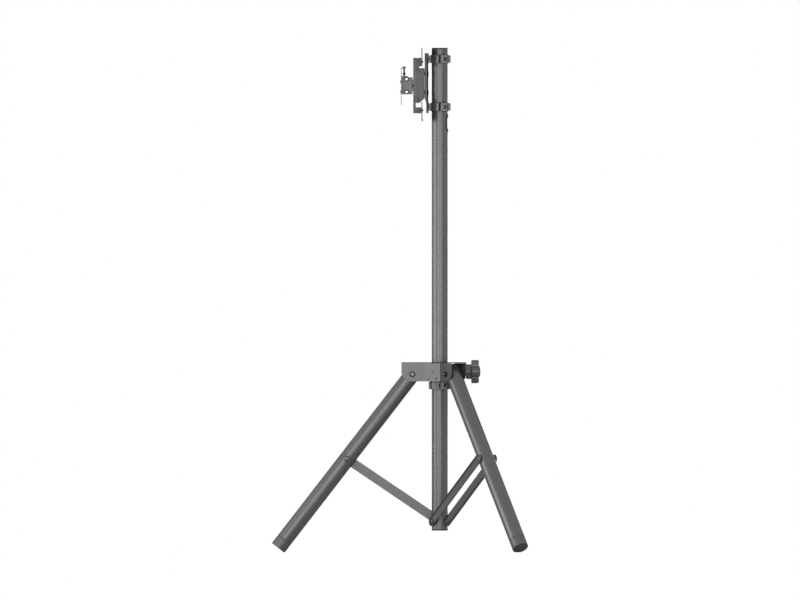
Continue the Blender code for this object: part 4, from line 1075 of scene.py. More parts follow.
# Screen mount
def build_pole_clamps():
    pad_face = -CLAMP_PAD_X - GAP
    rim, screw_end = 0.001, -0.028
    head_r, head, length, socket_r, socket = 0.0055, 0.0033, 0.0085, 0.0022, 0.002
    for name, height in (("upper", UPPER_CLAMP_Z), ("lower", LOWER_CLAMP_Z)):
        liner = liner_ring(CLAMP_BORE - GAP, height, CLAMP_HEIGHT / 2 + rim)
        settle(liner, f"{name}_liner", "clamp_liners", "rubber", f"{name}_clamp_liner")
        front = clamp_half(height, -1, CLAMP_BORE)
        bore(front, M6, -THROUGH, screw_end, "X", at_heights(height))
        settle(front, f"{name}_clamp_fore", "screen_mount", "powder_coat", f"{name}_clamp_front")
        rear = clamp_half(height, 1, CLAMP_BORE)
        settle(rear, f"{name}_clamp_back", "screen_mount", "powder_coat", f"{name}_clamp_rear")
        build_clamp_screws(f"{name}_clamp", height, "screen_mount")
        at = (pad_face - PLATE_SHEET - GAP, 0, height)
        screw = socket_screw(M6, head_r, head, length, socket_r, socket, at)
        settle(screw, f"{name}_pad_screw", "screen_mount", "bright_steel", f"{name}_pole_plate_screw")


def folded(rear, front, half, wall, back, bend, foot, top):
    """A channel of sheet, open towards -X, with round folds between its back and its two walls."""
    outlines = []
    for x, y, radius in ((rear, half, bend + wall), (rear - back, half - wall, bend)):
        corners = [(front, y), (x, y), (x, -y), (front, -y)]
        outlines.append(rounded(corners, radius, steps=6, closed=False))
    outer, inner = outlines
    return prism(outer + inner[::-1], foot, top)


def build_pole_plate():
    """A shallow channel that stands on both clamps and steps forward between them."""
    top, foot = POLE_PLATE_TOP_Z, POLE_PLATE_FOOT_Z
    pad_face, step_face = -CLAMP_PAD_X - GAP, POLE_STEP_X
    step_top, step_foot, slope_top, slope_foot = 1.5130, 1.4130, 1.5206, 1.3970
    rear = [(pad_face, top), (pad_face, slope_top), (step_face, step_top), (step_face, step_foot),
            (pad_face, slope_foot), (pad_face, foot)]
    flange_deep, flange_shallow = -0.0466, -0.0417
    fore = [(flange_shallow, foot), (flange_shallow, slope_foot), (flange_deep, step_foot),
            (flange_deep, top)]
    radii = [0.0015, 0.006, 0.006, 0.006, 0.006, 0.0015, 0.0015, 0.006, 0.006, 0.0025]
    plate = prism(rounded(rear + fore, radii, steps=5), -POLE_PLATE_HALF, POLE_PLATE_HALF, "Y", edge=0.0018)
    open_x = -0.070
    hollow = [(x - PLATE_SHEET, z) for x, z in rear]
    hollow[0] = (hollow[0][0], top + PAST)
    hollow[-1] = (hollow[-1][0], foot - PAST)
    hollow += [(open_x, foot - PAST), (open_x, top + PAST)]
    inner = POLE_PLATE_HALF - PLATE_SHEET
    cut(plate, prism(rounded(hollow, 0.004, steps=5), -inner, inner, "Y", edge=0.0008))
    behind = -0.030
    bore(plate, M6, -THROUGH, behind, "X", at_heights(UPPER_CLAMP_Z, LOWER_CLAMP_Z))
    bore(plate, M8, -THROUGH, behind, "X", at_heights(*POLE_BOLT_Z))
    # The plate takes the darker copy of the coat, as painted shade
    settle(plate, "pole_back_plate", "screen_mount", "powder_coat", "pole_plate", finish="plate_coat")


def build_mount_channel():
    """Open to the front, with its lower end cut back at a slope."""
    top, foot, slope_top, slope_x = 1.5059, 1.3975, 1.4124, -0.0640
    channel = folded(CHANNEL_REAR, CHANNEL_FRONT, CHANNEL_HALF, PLATE_SHEET, PLATE_SHEET, shape().bend,
                     foot - OVERLAP, top + OVERLAP)
    behind = CHANNEL_REAR + OVERLAP
    walls = rounded([(behind, top), (CHANNEL_FRONT, top), (CHANNEL_FRONT, foot), (slope_x, foot),
                     (behind, slope_top)], [0, 0.003, 0.003, 0.002, 0], steps=5)
    keep_inside(channel, prism(walls, -WIDE, WIDE, "Y"))
    soften(channel)
    bolt_start, bolt_end = -0.060, -0.040
    bore(channel, M8, bolt_start, bolt_end, "X", at_heights(*POLE_BOLT_Z))
    bore(channel, M5, -THROUGH, THROUGH, "Y", [(x, 0, z) for x, z in BRACKET_SCREWS])
    # The channel takes the darker copy of the coat, as painted shade
    settle(channel, "mount_u_channel", "screen_mount", "powder_coat", "mount_channel", finish="plate_coat")


def build_hook_bracket():
    """The head's bracket: a spine between two blocks that stand forward of the rails."""
    upper_foot, lower_top = 1.5113, 1.3840
    block_rear = RAIL_X - GAP
    hook_x, hook_foot, hook_in, hook_slope = -0.0640, 1.3985, 1.4110, 1.4180
    shelf_x, shelf_foot = -0.0635, 1.4940
    outline = [(BRACKET_FRONT, BRACKET_FOOT_Z), (block_rear, BRACKET_FOOT_Z), (block_rear, lower_top),
               (BRACKET_SPINE, lower_top), (BRACKET_SPINE, hook_foot), (hook_x, hook_foot), (hook_x, hook_in),
               (BRACKET_SPINE, hook_slope), (BRACKET_SPINE, shelf_foot), (shelf_x, shelf_foot),
               (shelf_x, upper_foot), (block_rear, upper_foot), (block_rear, BRACKET_TOP_Z),
               (BRACKET_FRONT, BRACKET_TOP_Z)]
    radii = [0.002, 0.001, 0.001, 0.0015, 0.001, 0.001, 0.001, 0.0015, 0.0015, 0.001, 0.001, 0.001, 0.001,
             0.002]
    bracket = prism(rounded(outline, radii), -BRACKET_HALF, BRACKET_HALF, "Y", edge=shape().edge)
    inner = BRACKET_HALF - PLATE_SHEET
    front_in = BRACKET_FRONT + PLATE_SHEET
    cut(bracket, box((front_in, -inner, lower_top), (0, inner, upper_foot)))
    for foot, top in ((BRACKET_FOOT_Z - PAST, lower_top + OVERLAP),
                      (upper_foot - OVERLAP, BRACKET_TOP_Z + PAST)):
        cut(bracket, box((front_in, -inner, foot), (block_rear - PLATE_SHEET, inner, top)))
    bore(bracket, M5, -THROUGH, THROUGH, "Y", [(x, 0, z) for x, z in BRACKET_SCREWS])
    bore(bracket, M10, *SWIVEL_BORE, "X", at_heights(SWIVEL_Z))
    screw_start = -0.066
    bore(bracket, M5, screw_start, -THROUGH, "X", [(0, y, z) for y, z in RAIL_SCREWS])
    # The bracket takes the darker copy of the coat, as painted shade
    settle(bracket, "head_bracket", "screen_mount", "powder_coat", "hook_bracket", finish="plate_coat")


def build_rails():
    """Two wide rails behind the bracket. The upper one has a lip at its top, the lower one at both edges."""
    front, rear = RAIL_X, RAIL_X + RAIL_THICK
    upper = [(front, 1.5116), (rear, 1.5116), (rear, 1.5640), (rear + 0.001, 1.5688), (rear - 0.002, 1.5688),
             (front, 1.5640)]
    lower = [(front - 0.002, 1.4010), (front + 0.0005, 1.4020), (rear, 1.3960), (rear, 1.3490),
             (rear + 0.002, 1.3440), (rear + 0.002, 1.3412), (front + 0.001, 1.3412), (front, 1.3480),
             (front, 1.3950)]
    before, behind = RAIL_X - 0.009, RAIL_X + 0.012
    for name, node, profile, screw_z, row_rise in (
            ("top_rail", "upper_rail", upper, UPPER_RAIL_SCREW_Z, 0.024),
            ("bottom_rail", "lower_rail", lower, LOWER_RAIL_SCREW_Z, -0.018)):
        rail = prism(rounded(profile, 0.0007), -RAIL_HALF, RAIL_HALF, "Y", edge=0.0004)
        for way in (-1, 1):
            bore(rail, M5, before, behind, "X", [(0, way * RAIL_SCREW_Y, screw_z)])
            row = [(0, way * y, screw_z + row_rise) for y in (0.045, 0.070, 0.095)]
            bore(rail, M5, before, behind, "X", row, sides=24)
        # The rails take the much darker copy of the coat, as painted shade
        settle(rail, name, "screen_mount", "powder_coat", node, finish="cover_coat")


# Screen head
def guide_slot(centre):
    """The slot in which the guide rivet swings round the tilt axis, with half a degree to spare."""
    reach, spare = M10 + GAP, 0.5
    down, up = TILT_DOWN + spare, TILT_UP + spare
    x, z = centre
    low_end = (x + GUIDE_DROP * sin(radians(down)), z - GUIDE_DROP * cos(radians(down)))
    high_end = (x - GUIDE_DROP * sin(radians(up)), z - GUIDE_DROP * cos(radians(up)))
    below, steps = 270, 12
    outline = arc(centre, GUIDE_DROP + reach, below - up, below + down, steps)
    outline += arc(low_end, reach, down - 90, down + 90, steps)[1:-1]
    outline += arc(centre, GUIDE_DROP - reach, below + down, below - up, steps)
    outline += arc(high_end, reach, 90 - up, 270 - up, steps)[1:-1]
    return outline


def build_yoke():
    """A U of sheet. Its walls carry the pivot rivet and have the curved slots for the guide rivet."""
    top, foot, pivot = YOKE_TOP_Z, HEAD_FOOT_Z, TILT_Z
    yoke = folded(YOKE_REAR, YOKE_FRONT_X - OVERLAP, YOKE_HALF, YOKE_SHEET, YOKE_BACK, shape().bend * 0.6,
                  foot - OVERLAP, top + PAST)
    ear_top, behind = pivot + 0.0086, YOKE_REAR + OVERLAP
    outline = [(behind, foot), (behind, top), (TILT_X + 0.0065, top), (TILT_X + 0.0030, ear_top),
               (YOKE_FRONT_X, ear_top), (YOKE_FRONT_X, foot + 0.0195), (YOKE_FRONT_X + 0.0040, foot)]
    radii = [0, 0, 0.003, 0.002, 0.003, 0.004, 0.0015]
    keep_inside(yoke, prism(rounded(outline, radii, steps=6), -WIDE, WIDE, "Y"))
    # Notches in the back let the cradle's walls swing
    inner_y = YOKE_HALF - YOKE_SHEET
    notch_inner, notch_top = CRADLE_HALF - PLATE_SHEET - 0.001, pivot - GUIDE_DROP + 0.016
    for near, far in ((notch_inner, inner_y), (-inner_y, -notch_inner)):
        cut(yoke, box((YOKE_SEAT - PAST, near, foot - PAST), (YOKE_REAR + PAST, far, notch_top)))
    soften(yoke, 0.0003)
    bore(yoke, M10, *SWIVEL_BORE, "X", at_heights(SWIVEL_Z))
    bore(yoke, M10, -THROUGH, THROUGH, "Y", [(TILT_X, 0, pivot)])
    cut(yoke, prism(guide_slot((TILT_X, pivot)), -THROUGH, THROUGH, "Y"))
    settle(yoke, "yoke", "swivel_head", "powder_coat", "tilt_yoke")


def hollow_rivet(name, node, body, at):
    """A tube right through the head, spread to a rounded flange outside each wall of the yoke."""
    flange_r, flange, outer = 0.0075, 0.0012, YOKE_HALF + GAP
    profile = [(M8, -outer - flange), (flange_r, -outer - flange), (flange_r, -outer), (M10, -outer),
               (M10, outer), (flange_r, outer), (flange_r, outer + flange), (M8, outer + flange)]
    radii = [0.0008, 0.0008, 0.0002, 0, 0, 0.0002, 0.0008, 0.0008]
    rivet = turned(rounded(profile, radii), shape().bolt_sides, "Y", at)
    settle(rivet, name, body, "dark_steel", node)


def build_swivel():
    washer = pipe(WASHER_R, M10 + GAP, YOKE_REAR + GAP, BRACKET_FRONT - GAP, sides=72, axis="X", edge=0.0003)
    settle(moved(washer, up_by(SWIVEL_Z)), "swivel_disc", "swivel_head", "black_plastic", "swivel_washer")
    build_yoke()
    across, head, nut, beyond_nut = 0.017, 0.006, 0.005, 0.005
    head_rear = YOKE_SEAT - GAP
    nut_front = BRACKET_FRONT + PLATE_SHEET + GAP
    bolt = hex_nut(across, head_rear - head, head_rear)
    pitch, depth, sides = 0.0015, 0.0006, 28
    fuse(bolt, threaded(M10, head_rear - 0.002, nut_front + nut + beyond_nut, pitch, depth, sides))
    fuse(bolt, hex_nut(across, nut_front, nut_front + nut))
    settle(moved(bolt, up_by(SWIVEL_Z)), "swivel_hex_bolt", "swivel_head", "dark_steel", "swivel_bolt")
    hollow_rivet("tilt_rivet", "pivot_rivet", "swivel_head", (TILT_X, 0, TILT_Z))


def build_cradle():
    """A U of sheet behind the screen plate, with its walls just inside the yoke's, and the guide rivet."""
    wall_front = PLATE_REAR + GAP
    wall_rear = wall_front + PLATE_SHEET
    foot, top, shoulder = HEAD_FOOT_Z, CRADLE_TOP_Z, YOKE_TOP_Z
    rear, lug_rear, lug_top = TILT_X + 0.008, TILT_X + 0.0126, TILT_Z + 0.0095 - GUIDE_DROP
    outline = [(wall_front, foot), (lug_rear, foot), (lug_rear, lug_top), (rear, lug_top + 0.004),
               (rear, shoulder), (TILT_X, top), (wall_front, top)]
    radii = [0.0012, 0.004, 0.002, 0.002, 0.004, 0.004, 0.0012]
    body = prism(rounded(outline, radii, steps=5), -CRADLE_HALF, CRADLE_HALF, "Y", edge=0.0006)
    inner = CRADLE_HALF - PLATE_SHEET
    cut(body, box((wall_rear, -inner, foot - PAST), (TILT_X + THROUGH, inner, top + PAST), 0.0006))
    tab_foot, tab_half, tab_end = top - SHEET, 0.0095, TILT_X + 0.001
    fuse(body, box((wall_front + OVERLAP, -tab_half, tab_foot), (tab_end, tab_half, top), 0.0003))
    bore(body, M10, -THROUGH, THROUGH, "Y", [(TILT_X, 0, TILT_Z), (TILT_X, 0, TILT_Z - GUIDE_DROP)])
    bolt_start = TILT_X - 0.03
    bore(body, M6, bolt_start, TILT_X, "X", at_heights(*PLATE_BOLT_Z))
    bore(body, M5, tab_foot - PAST, top + PAST, "Z", [(LOCK_SCREW_X, 0, 0)])
    settle(body, "cradle", "tilt_head", "powder_coat", "plate_cradle")
    hollow_rivet("slot_rivet", "guide_rivet", "tilt_head", (TILT_X, 0, TILT_Z - GUIDE_DROP))


def build_screen_plate():
    """A square plate with the 75 mm and 100 mm hole patterns and a lip bent back along its top."""
    front = PLATE_REAR - SHEET
    size, edge = PLATE_SIZE / 2, 0.0004
    foot, top = PLATE_Z - size, PLATE_Z + size
    corners = [(-size, foot), (size, foot), (size, top), (-size, top)]
    plate = prism(rounded(corners, 0.006, steps=8), front, PLATE_REAR, "X", edge=edge)
    lip_half, lip_start, lip_end = 0.020, PLATE_REAR - 0.0016, TILT_X - 0.005
    lip = rounded([(lip_start, -lip_half), (lip_end, -lip_half), (lip_end, lip_half), (lip_start, lip_half)],
                  [0, 0.003, 0.003, 0], steps=5)
    fuse(plate, prism(lip, top - SHEET, top, "Z", edge=edge))
    before, behind = front - PAST, PLATE_REAR + OVERLAP
    for spacing in (0.075, 0.100):
        places = (-spacing / 2, spacing / 2)
        corners = [(0, a, PLATE_Z + b) for a in places for b in places]
        bore(plate, M4, before, behind, "X", corners, sides=20)
    window_y, half_width, half_height = 0.036, 0.009, 0.026
    for y in (-window_y, window_y):
        cut(plate, prism(stadium(half_width, half_height, (y, PLATE_Z)), before, behind, "X"))
    bore(plate, M6, before, behind, "X", at_heights(*PLATE_BOLT_Z))
    bore(plate, M5, top - PAST, top + PAST, "Z", [(LOCK_SCREW_X, 0, 0)])
    settle(plate, "screen_mounting_plate", "tilt_head", "powder_coat", "screen_plate")


def build_lock_screw():
    """A thumb screw: a knurled head over the plate's lip, and a cone that points down into the cradle."""
    top = PLATE_Z + PLATE_SIZE / 2
    head_r, head, ridges, ridge = 0.0055, 0.0042, 24, 0.0003
    neck_end, shoulder = TILT_Z + 0.0189, CRADLE_TOP_Z + 0.0008
    knurl = []
    points = ridges * 4
    for i in range(points):
        angle = 2 * pi * i / points
        reach = head_r - ridge * (1 - cos(ridges * angle)) / 2
        knurl.append((reach * cos(angle), reach * sin(angle)))
    screw = prism(knurl, top + GAP, top + head, "Z", edge=0.0006)
    root, tip_r, tip = top + 0.002, M5 * 0.8, shoulder - 0.0050
    shank = [(0, root), (M5, root), (M5, neck_end), (head_r, neck_end), (tip_r, shoulder), (tip_r, tip),
             (0, tip)]
    fuse(screw, turned(shank, shape().bolt_sides))
    moved(screw, Matrix.Translation((LOCK_SCREW_X, 0, 0)))
    settle(screw, "plate_lock_screw", "tilt_head", "dark_steel", "lock_screw")


# Small fasteners, made by one node tree
def fastener_tree():
    """A node tree that sets a domed or flat head with a shank and a socket on each point of a mesh."""
    tree = bpy.data.node_groups.new("stand_fasteners", "GeometryNodeTree")
    face = tree.interface
    face.new_socket(name="Geometry", in_out="OUTPUT", socket_type="NodeSocketGeometry")
    face.new_socket(name="Geometry", in_out="INPUT", socket_type="NodeSocketGeometry")
    for name, kind, default in (("Head Radius", "Float", 0.0045), ("Head Height", "Float", 0.002),
                                ("Dome", "Float", 0.0005), ("Head Sides", "Int", 24),
                                ("Shank Radius", "Float", 0.0025), ("Shank Length", "Float", 0.004),
                                ("Socket Radius", "Float", 0.0018), ("Socket Depth", "Float", 0.0012),
                                ("Socket Sides", "Int", 6)):
        socket = face.new_socket(name=name, in_out="INPUT", socket_type=f"NodeSocket{kind}")
        socket.default_value = default
    face.new_socket(name="Finish", in_out="INPUT", socket_type="NodeSocketMaterial")

    given = add_node(tree, "NodeGroupInput").outputs

    def value(operation, first, second):
        return add_node(tree, "ShaderNodeMath", {0: first, 1: second}, operation=operation).outputs["Value"]

    def along_z(height):
        return add_node(tree, "ShaderNodeCombineXYZ", {"Z": height}).outputs["Vector"]

    def lifted(mesh, height):
        shift = {"Geometry": mesh, "Translation": along_z(height)}
        return add_node(tree, "GeometryNodeTransform", shift).outputs["Geometry"]

    def cylinder(sides, radius, depth, rings=1):
        sizes = {"Fill Segments": rings, "Vertices": sides, "Radius": radius, "Depth": depth}
        return add_node(tree, "GeometryNodeMeshCylinder", sizes).outputs["Mesh"]

    def combined(operation, first, second):
        first_input = "Mesh 1" if operation == "DIFFERENCE" else "Mesh 2"
        node = add_node(tree, "GeometryNodeMeshBoolean", {first_input: first}, operation=operation,
                        solver="EXACT")
        tree.links.new(second, node.inputs["Mesh 2"])
        return node.outputs["Mesh"]

    height = given["Head Height"]
    head = cylinder(given["Head Sides"], given["Head Radius"], height, rings=5)
    place = add_node(tree, "GeometryNodeInputPosition").outputs["Position"]
    apart = add_node(tree, "ShaderNodeSeparateXYZ", {"Vector": place}).outputs
    flat = add_node(tree, "ShaderNodeCombineXYZ", {"X": apart["X"], "Y": apart["Y"]}).outputs["Vector"]
    reach = add_node(tree, "ShaderNodeVectorMath", {0: flat}, operation="LENGTH").outputs["Value"]
    share = value("DIVIDE", reach, given["Head Radius"])
    crown = value("SUBTRACT", 1.0, value("MULTIPLY", share, share))
    upper = value("GREATER_THAN", apart["Z"], 0.0)
    rise = value("MULTIPLY", value("MULTIPLY", crown, given["Dome"]), upper)
    domed = add_node(tree, "GeometryNodeSetPosition", {"Geometry": head, "Offset": along_z(rise)})
    seated = lifted(domed.outputs["Geometry"], value("MULTIPLY", height, 0.5))

    # The shank starts inside the head
    sunk, shank_sides = value("MULTIPLY", height, 0.4), 20
    whole = value("ADD", given["Shank Length"], sunk)
    shank = cylinder(shank_sides, given["Shank Radius"], whole)
    shank_rise = value("SUBTRACT", sunk, value("MULTIPLY", whole, 0.5))
    bolt = combined("UNION", seated, lifted(shank, shank_rise))
    recess = value("MULTIPLY", given["Socket Depth"], 2.0)
    socket = cylinder(given["Socket Sides"], given["Socket Radius"], recess)
    bolt = combined("DIFFERENCE", bolt, lifted(socket, value("ADD", height, given["Dome"])))

    facing = add_node(tree, "GeometryNodeInputNamedAttribute", {"Name": "facing"}, data_type="FLOAT_VECTOR")
    way = {"Vector": facing.outputs["Attribute"]}
    align = add_node(tree, "FunctionNodeAlignRotationToVector", way, axis="Z")
    points = add_node(tree, "GeometryNodeMeshToPoints", {"Mesh": given["Geometry"]})
    spread = add_node(tree, "GeometryNodeInstanceOnPoints", {
        "Points": points.outputs["Points"], "Instance": bolt, "Rotation": align.outputs["Rotation"]})
    real = add_node(tree, "GeometryNodeRealizeInstances", {"Geometry": spread.outputs["Instances"]})
    paint = add_node(tree, "GeometryNodeSetMaterial", {
        "Geometry": real.outputs["Geometry"], "Material": given["Finish"]})
    add_node(tree, "NodeGroupOutput", {"Geometry": paint.outputs["Geometry"]})
    return tree


def fasteners(tree, name, body, slot, places, finish=None, **sizes):
    """One mesh of like fasteners. Places is a list of (point, facing), and sizes are the tree's inputs."""
    mesh = bpy.data.meshes.new(name)
    mesh.from_pydata([place for place, _ in places], [], [])
    facing = mesh.attributes.new("facing", "FLOAT_VECTOR", "POINT")
    for i, (_, way) in enumerate(places):
        facing.data[i].vector = way
    obj = linked(name, mesh)
    modifier = obj.modifiers.new("fasteners", "NODES")
    modifier.node_group = tree
    sizes = {key.replace("_", " ").title(): size for key, size in sizes.items()}
    sizes["Finish"] = FINISHES[finish or slot]
    for item in tree.interface.items_tree:
        if item.in_out == "INPUT" and item.name in sizes:
            modifier[item.identifier] = sizes[item.name]
    baked(obj)
    if not obj.data.polygons:
        raise RuntimeError(f"the fasteners {name} came out empty")
    return settle(obj, name, body, slot, finish=finish)


def build_fasteners():
    tree = fastener_tree()
    look = shape()

    rivets = []
    for azimuth in FACES.values():
        point = around(azimuth) @ Vector((FACE_DISTANCE + GAP, -RIVET_SPREAD, 0))
        way = around(azimuth) @ Vector((1, 0, 0))
        rivets.append(((point.x, point.y, PIVOT_Z + HUB_FOOT + RIVET_RISE), way))
    fasteners(tree, "hub_face_rivets", "hub", "bright_steel", rivets, head_radius=look.rivet_head,
              head_height=0.0009, dome=0.0009, shank_radius=M5, shank_length=0.004, socket_radius=0.0012,
              socket_depth=0.0007, socket_sides=16)

    plugs = []
    for name in ("a", "c"):
        way = around(FACES[name]) @ Vector((1, 0, 0))
        point = way * (FACE_DISTANCE - 0.0012)
        plugs.append(((point.x, point.y, KNOB_Z), way))
    fasteners(tree, "hub_blanking_plugs", "hub", "powder_coat", plugs, head_radius=M12 + 0.0001,
              head_height=0.0012, dome=0.0003, head_sides=36, shank_radius=0.0050, shank_length=0.0020,
              socket_radius=0.0022, socket_depth=0.0008, socket_sides=24)

    seat = -(BRACE_SIDE - BRACE_DEPTH / 2) - PLATE_SHEET - GAP
    for name, azimuth in LEGS.items():
        turn = brace_turn(azimuth)
        way = turn.to_3x3() @ Vector((-1, 0, 0))
        fasteners(tree, f"{name}_brace_rivet", f"{name}_brace", "bright_steel",
                  [(turn @ Vector((seat, 0, BRACE_LENGTH)), way)], finish="dull_steel", head_radius=0.0075,
                  head_height=0.0012, dome=0.0016, head_sides=32, shank_radius=M8, shank_length=PLATE_SHEET,
                  socket_radius=0.0016, socket_depth=0.0008, socket_sides=20)

    # A nut or a spacer is a flat head with a bore right through it
    bored = {"dome": 0.0, "shank_length": 0.0001, "socket_sides": 24}
    bore_lip = 0.0006
    front = CHANNEL_REAR - PLATE_SHEET - GAP
    heads = [((front, 0, z), (-1, 0, 0)) for z in POLE_BOLT_Z]
    fasteners(tree, "mount_bolts", "screen_mount", "dark_steel", heads, head_radius=0.0068,
              head_height=0.0034, dome=0.0008, shank_radius=M8, shank_length=front - POLE_STEP_X + 0.0175,
              socket_radius=0.0027, socket_depth=0.0024)
    nuts = [((POLE_STEP_X + GAP, 0, z), (1, 0, 0)) for z in POLE_BOLT_Z]
    fasteners(tree, "mount_nuts", "screen_mount", "dark_steel", nuts, head_radius=0.0074, head_height=0.0032,
              head_sides=6, shank_radius=M8 + bore_lip, socket_radius=M8 + GAP, socket_depth=0.0060, **bored)
    spacers = [((CHANNEL_REAR + GAP, 0, z), (1, 0, 0)) for z in POLE_BOLT_Z]
    length = POLE_STEP_X - PLATE_SHEET - CHANNEL_REAR - 2 * GAP
    fasteners(tree, "mount_spacers", "screen_mount", "black_plastic", spacers, head_radius=0.0080,
              head_height=length, head_sides=32, shank_radius=M8 + bore_lip, socket_radius=M8 + GAP,
              socket_depth=length + 0.001, **bored)

    round_head = {"head_radius": look.rail_screw_head, "head_height": 0.0014, "dome": 0.0009,
                  "shank_radius": M5, "shank_length": 0.0055, "socket_radius": 0.0017, "socket_depth": 0.0011}
    sides = [((x, way * (BRACKET_HALF + GAP), z), (0, way, 0)) for x, z in BRACKET_SCREWS for way in (-1, 1)]
    # These screws take the darker copy of the coat, as painted shade
    fasteners(tree, "bracket_screws", "screen_mount", "dark_steel", sides, "plate_coat", **round_head)
    backs = [((RAIL_X + RAIL_THICK + GAP, y, z), (1, 0, 0)) for y, z in RAIL_SCREWS]
    fasteners(tree, "rail_screws", "screen_mount", "dark_steel", backs, **round_head)

    flush = [((PLATE_REAR - SHEET - GAP, 0, z), (-1, 0, 0)) for z in PLATE_BOLT_Z]
    fasteners(tree, "plate_bolts", "tilt_head", "dark_steel", flush, head_radius=0.0056, head_height=0.0012,
              dome=0.0006, shank_radius=M6, shank_length=0.0110, socket_radius=0.0022, socket_depth=0.0010)
    inner = [((PLATE_REAR + GAP + PLATE_SHEET + GAP, 0, z), (1, 0, 0)) for z in PLATE_BOLT_Z]
    fasteners(tree, "plate_nuts", "tilt_head", "dark_steel", inner, head_radius=0.0058, head_height=0.0040,
              head_sides=6, shank_radius=M6 + bore_lip, socket_radius=M6 + GAP, socket_depth=0.0050, **bored)


# Stage
def add_light(name, azimuth, power):
    """A wide soft light as tall as the stand, which faces the column."""
    distance, height, width, tall = 3.2, 0.90, 2.0, 1.9
    data = bpy.data.lights.new(name, "AREA")
    data.shape = "RECTANGLE"
    data.size = width
    data.size_y = tall
    data.energy = power
    light = linked(name, data)
    place = Vector((COLUMN_X + distance * cos(azimuth), distance * sin(azimuth), height))
    light.location = place
    target = Vector((COLUMN_X, 0, height))
    light.rotation_euler = (target - place).to_track_quat("-Z", "Y").to_euler()
    light.visible_camera = False


def seen_directly(tree):
    """A socket that is 1 for camera, glossy and transmission rays and 0 for the light's own rays."""
    path = add_node(tree, "ShaderNodeLightPath")
    seen = path.outputs["Is Camera Ray"]
    for ray in ("Is Glossy Ray", "Is Transmission Ray"):
        either = add_node(tree, "ShaderNodeMath", {0: seen, 1: path.outputs[ray]}, operation="MAXIMUM")
        seen = either.outputs["Value"]
    return seen


def floor_material(colour):
    """A plain floor round the stand, with its shadows, that turns to the white backdrop farther out."""
    near, far = 1.2, 2.6
    material = bpy.data.materials.new("studio_floor")
    material.use_nodes = True
    tree = material.node_tree
    shader = tree.nodes["Principled BSDF"]
    shader.inputs["Base Color"].default_value = opaque(colour)
    shader.inputs["Roughness"].default_value = 0.9
    shader.inputs["Specular IOR Level"].default_value = 0.1
    place = add_node(tree, "ShaderNodeTexCoord").outputs["Object"]
    distance = add_node(tree, "ShaderNodeVectorMath", {0: place}, operation="LENGTH").outputs["Value"]
    fade = map_range(tree, distance, near, far, 0.0, 1.0, "SMOOTHSTEP")
    share = add_node(tree, "ShaderNodeMath", {0: fade, 1: seen_directly(tree)}, operation="MULTIPLY")
    white = add_node(tree, "ShaderNodeEmission", {"Strength": 1.0})
    blend = add_node(tree, "ShaderNodeMixShader", {
        "Fac": share.outputs["Value"], 1: shader.outputs["BSDF"], 2: white.outputs["Emission"]})
    tree.links.new(blend.outputs["Shader"], tree.nodes["Material Output"].inputs["Surface"])
    return material


def build_world(ambient):
    """White where a camera, glossy or glass ray looks past the stand, and an even dim light otherwise."""
    world = bpy.data.worlds.new("studio")
    world.use_nodes = True
    tree = world.node_tree
    tree.nodes.clear()
    white_colour = (1.0, 1.0, 1.0, 1.0)
    dim = add_node(tree, "ShaderNodeBackground", {"Color": white_colour, "Strength": ambient})
    white = add_node(tree, "ShaderNodeBackground", {"Color": white_colour, "Strength": 1.0})
    choose = add_node(tree, "ShaderNodeMixShader", {
        "Fac": seen_directly(tree), 1: dim.outputs["Background"], 2: white.outputs["Background"]})
    add_node(tree, "ShaderNodeOutputWorld", {"Surface": choose.outputs["Shader"]})
    bpy.context.scene.world = world


def build_stage(look):
    scene = bpy.context.scene
    scene.view_settings.view_transform = "Standard"
    build_world(look.ambient)
    for name, azimuth, power in (("left", 194, look.left_light), ("front", 248, look.front_light),
                                 ("right", 286, look.right_light), ("rear", 90, look.rear_light)):
        add_light(f"{name}_soft_light", radians(azimuth), power)

    reach, camera_distance = 9.0, 6.0
    mesh = bpy.data.meshes.new("studio_floor")
    mesh.from_pydata([(-reach, -reach, 0), (reach, -reach, 0), (reach, reach, 0), (-reach, reach, 0)], [],
                     [(0, 1, 2, 3)])
    floor = linked("studio_floor", mesh)
    mesh.materials.append(floor_material(look.floor_colour))

    data = bpy.data.cameras.new("photo_camera")
    data.type = "ORTHO"
    data.ortho_scale = VIEW_WIDTH
    camera = linked("photo_camera", data)
    camera.location = (0, -camera_distance, VIEW_MIDDLE_Z)
    camera.rotation_euler = (pi / 2, 0, 0)
    scene.camera = camera


class StandOperator:
    bl_options = {"REGISTER", "UNDO"}


class STAND_OT_stage(StandOperator, Operator):
    """Set up the floor, the lights, the camera and the finishes"""
    bl_idname = "stand.stage"
    bl_label = "Stage and finishes"

    def execute(self, context):
        build_stage(context.scene.stand_stage)
        make_finishes()
        return {"FINISHED"}


class STAND_OT_column(StandOperator, Operator):
    """Build the column's tube, its caps and the rim of its cable outlet"""
    bl_idname = "stand.column"
    bl_label = "Column"

    def execute(self, context):
        build_column_tube()
        build_column_caps()
        build_grommet()
        return {"FINISHED"}


class STAND_OT_foot_pivots(StandOperator, Operator):
    """Build the three bolts that hold the braces to the foot of the column"""
    bl_idname = "stand.foot_pivots"
    bl_label = "Brace foot bolts"

    def execute(self, context):
        build_foot_pivots()
        return {"FINISHED"}


class STAND_OT_stop_collar(StandOperator, Operator):
    """Build the split collar that stops the hub on the column"""
    bl_idname = "stand.stop_collar"
    bl_label = "Stop collar"

    def execute(self, context):
        build_stop_collar()
        return {"FINISHED"}


class STAND_OT_hub(StandOperator, Operator):
    """Build the sliding hub: its cover, three folded walls and guide sleeve"""
    bl_idname = "stand.hub"
    bl_label = "Hub"

    def execute(self, context):
        build_hub_side_plates()
        build_hub_top()
        return {"FINISHED"}


class STAND_OT_leg_pivots(StandOperator, Operator):
    """Build the bolts, nuts and washers on which the legs fold"""
    bl_idname = "stand.leg_pivots"
    bl_label = "Leg pivots"

    def execute(self, context):
        build_leg_pivots()
        return {"FINISHED"}


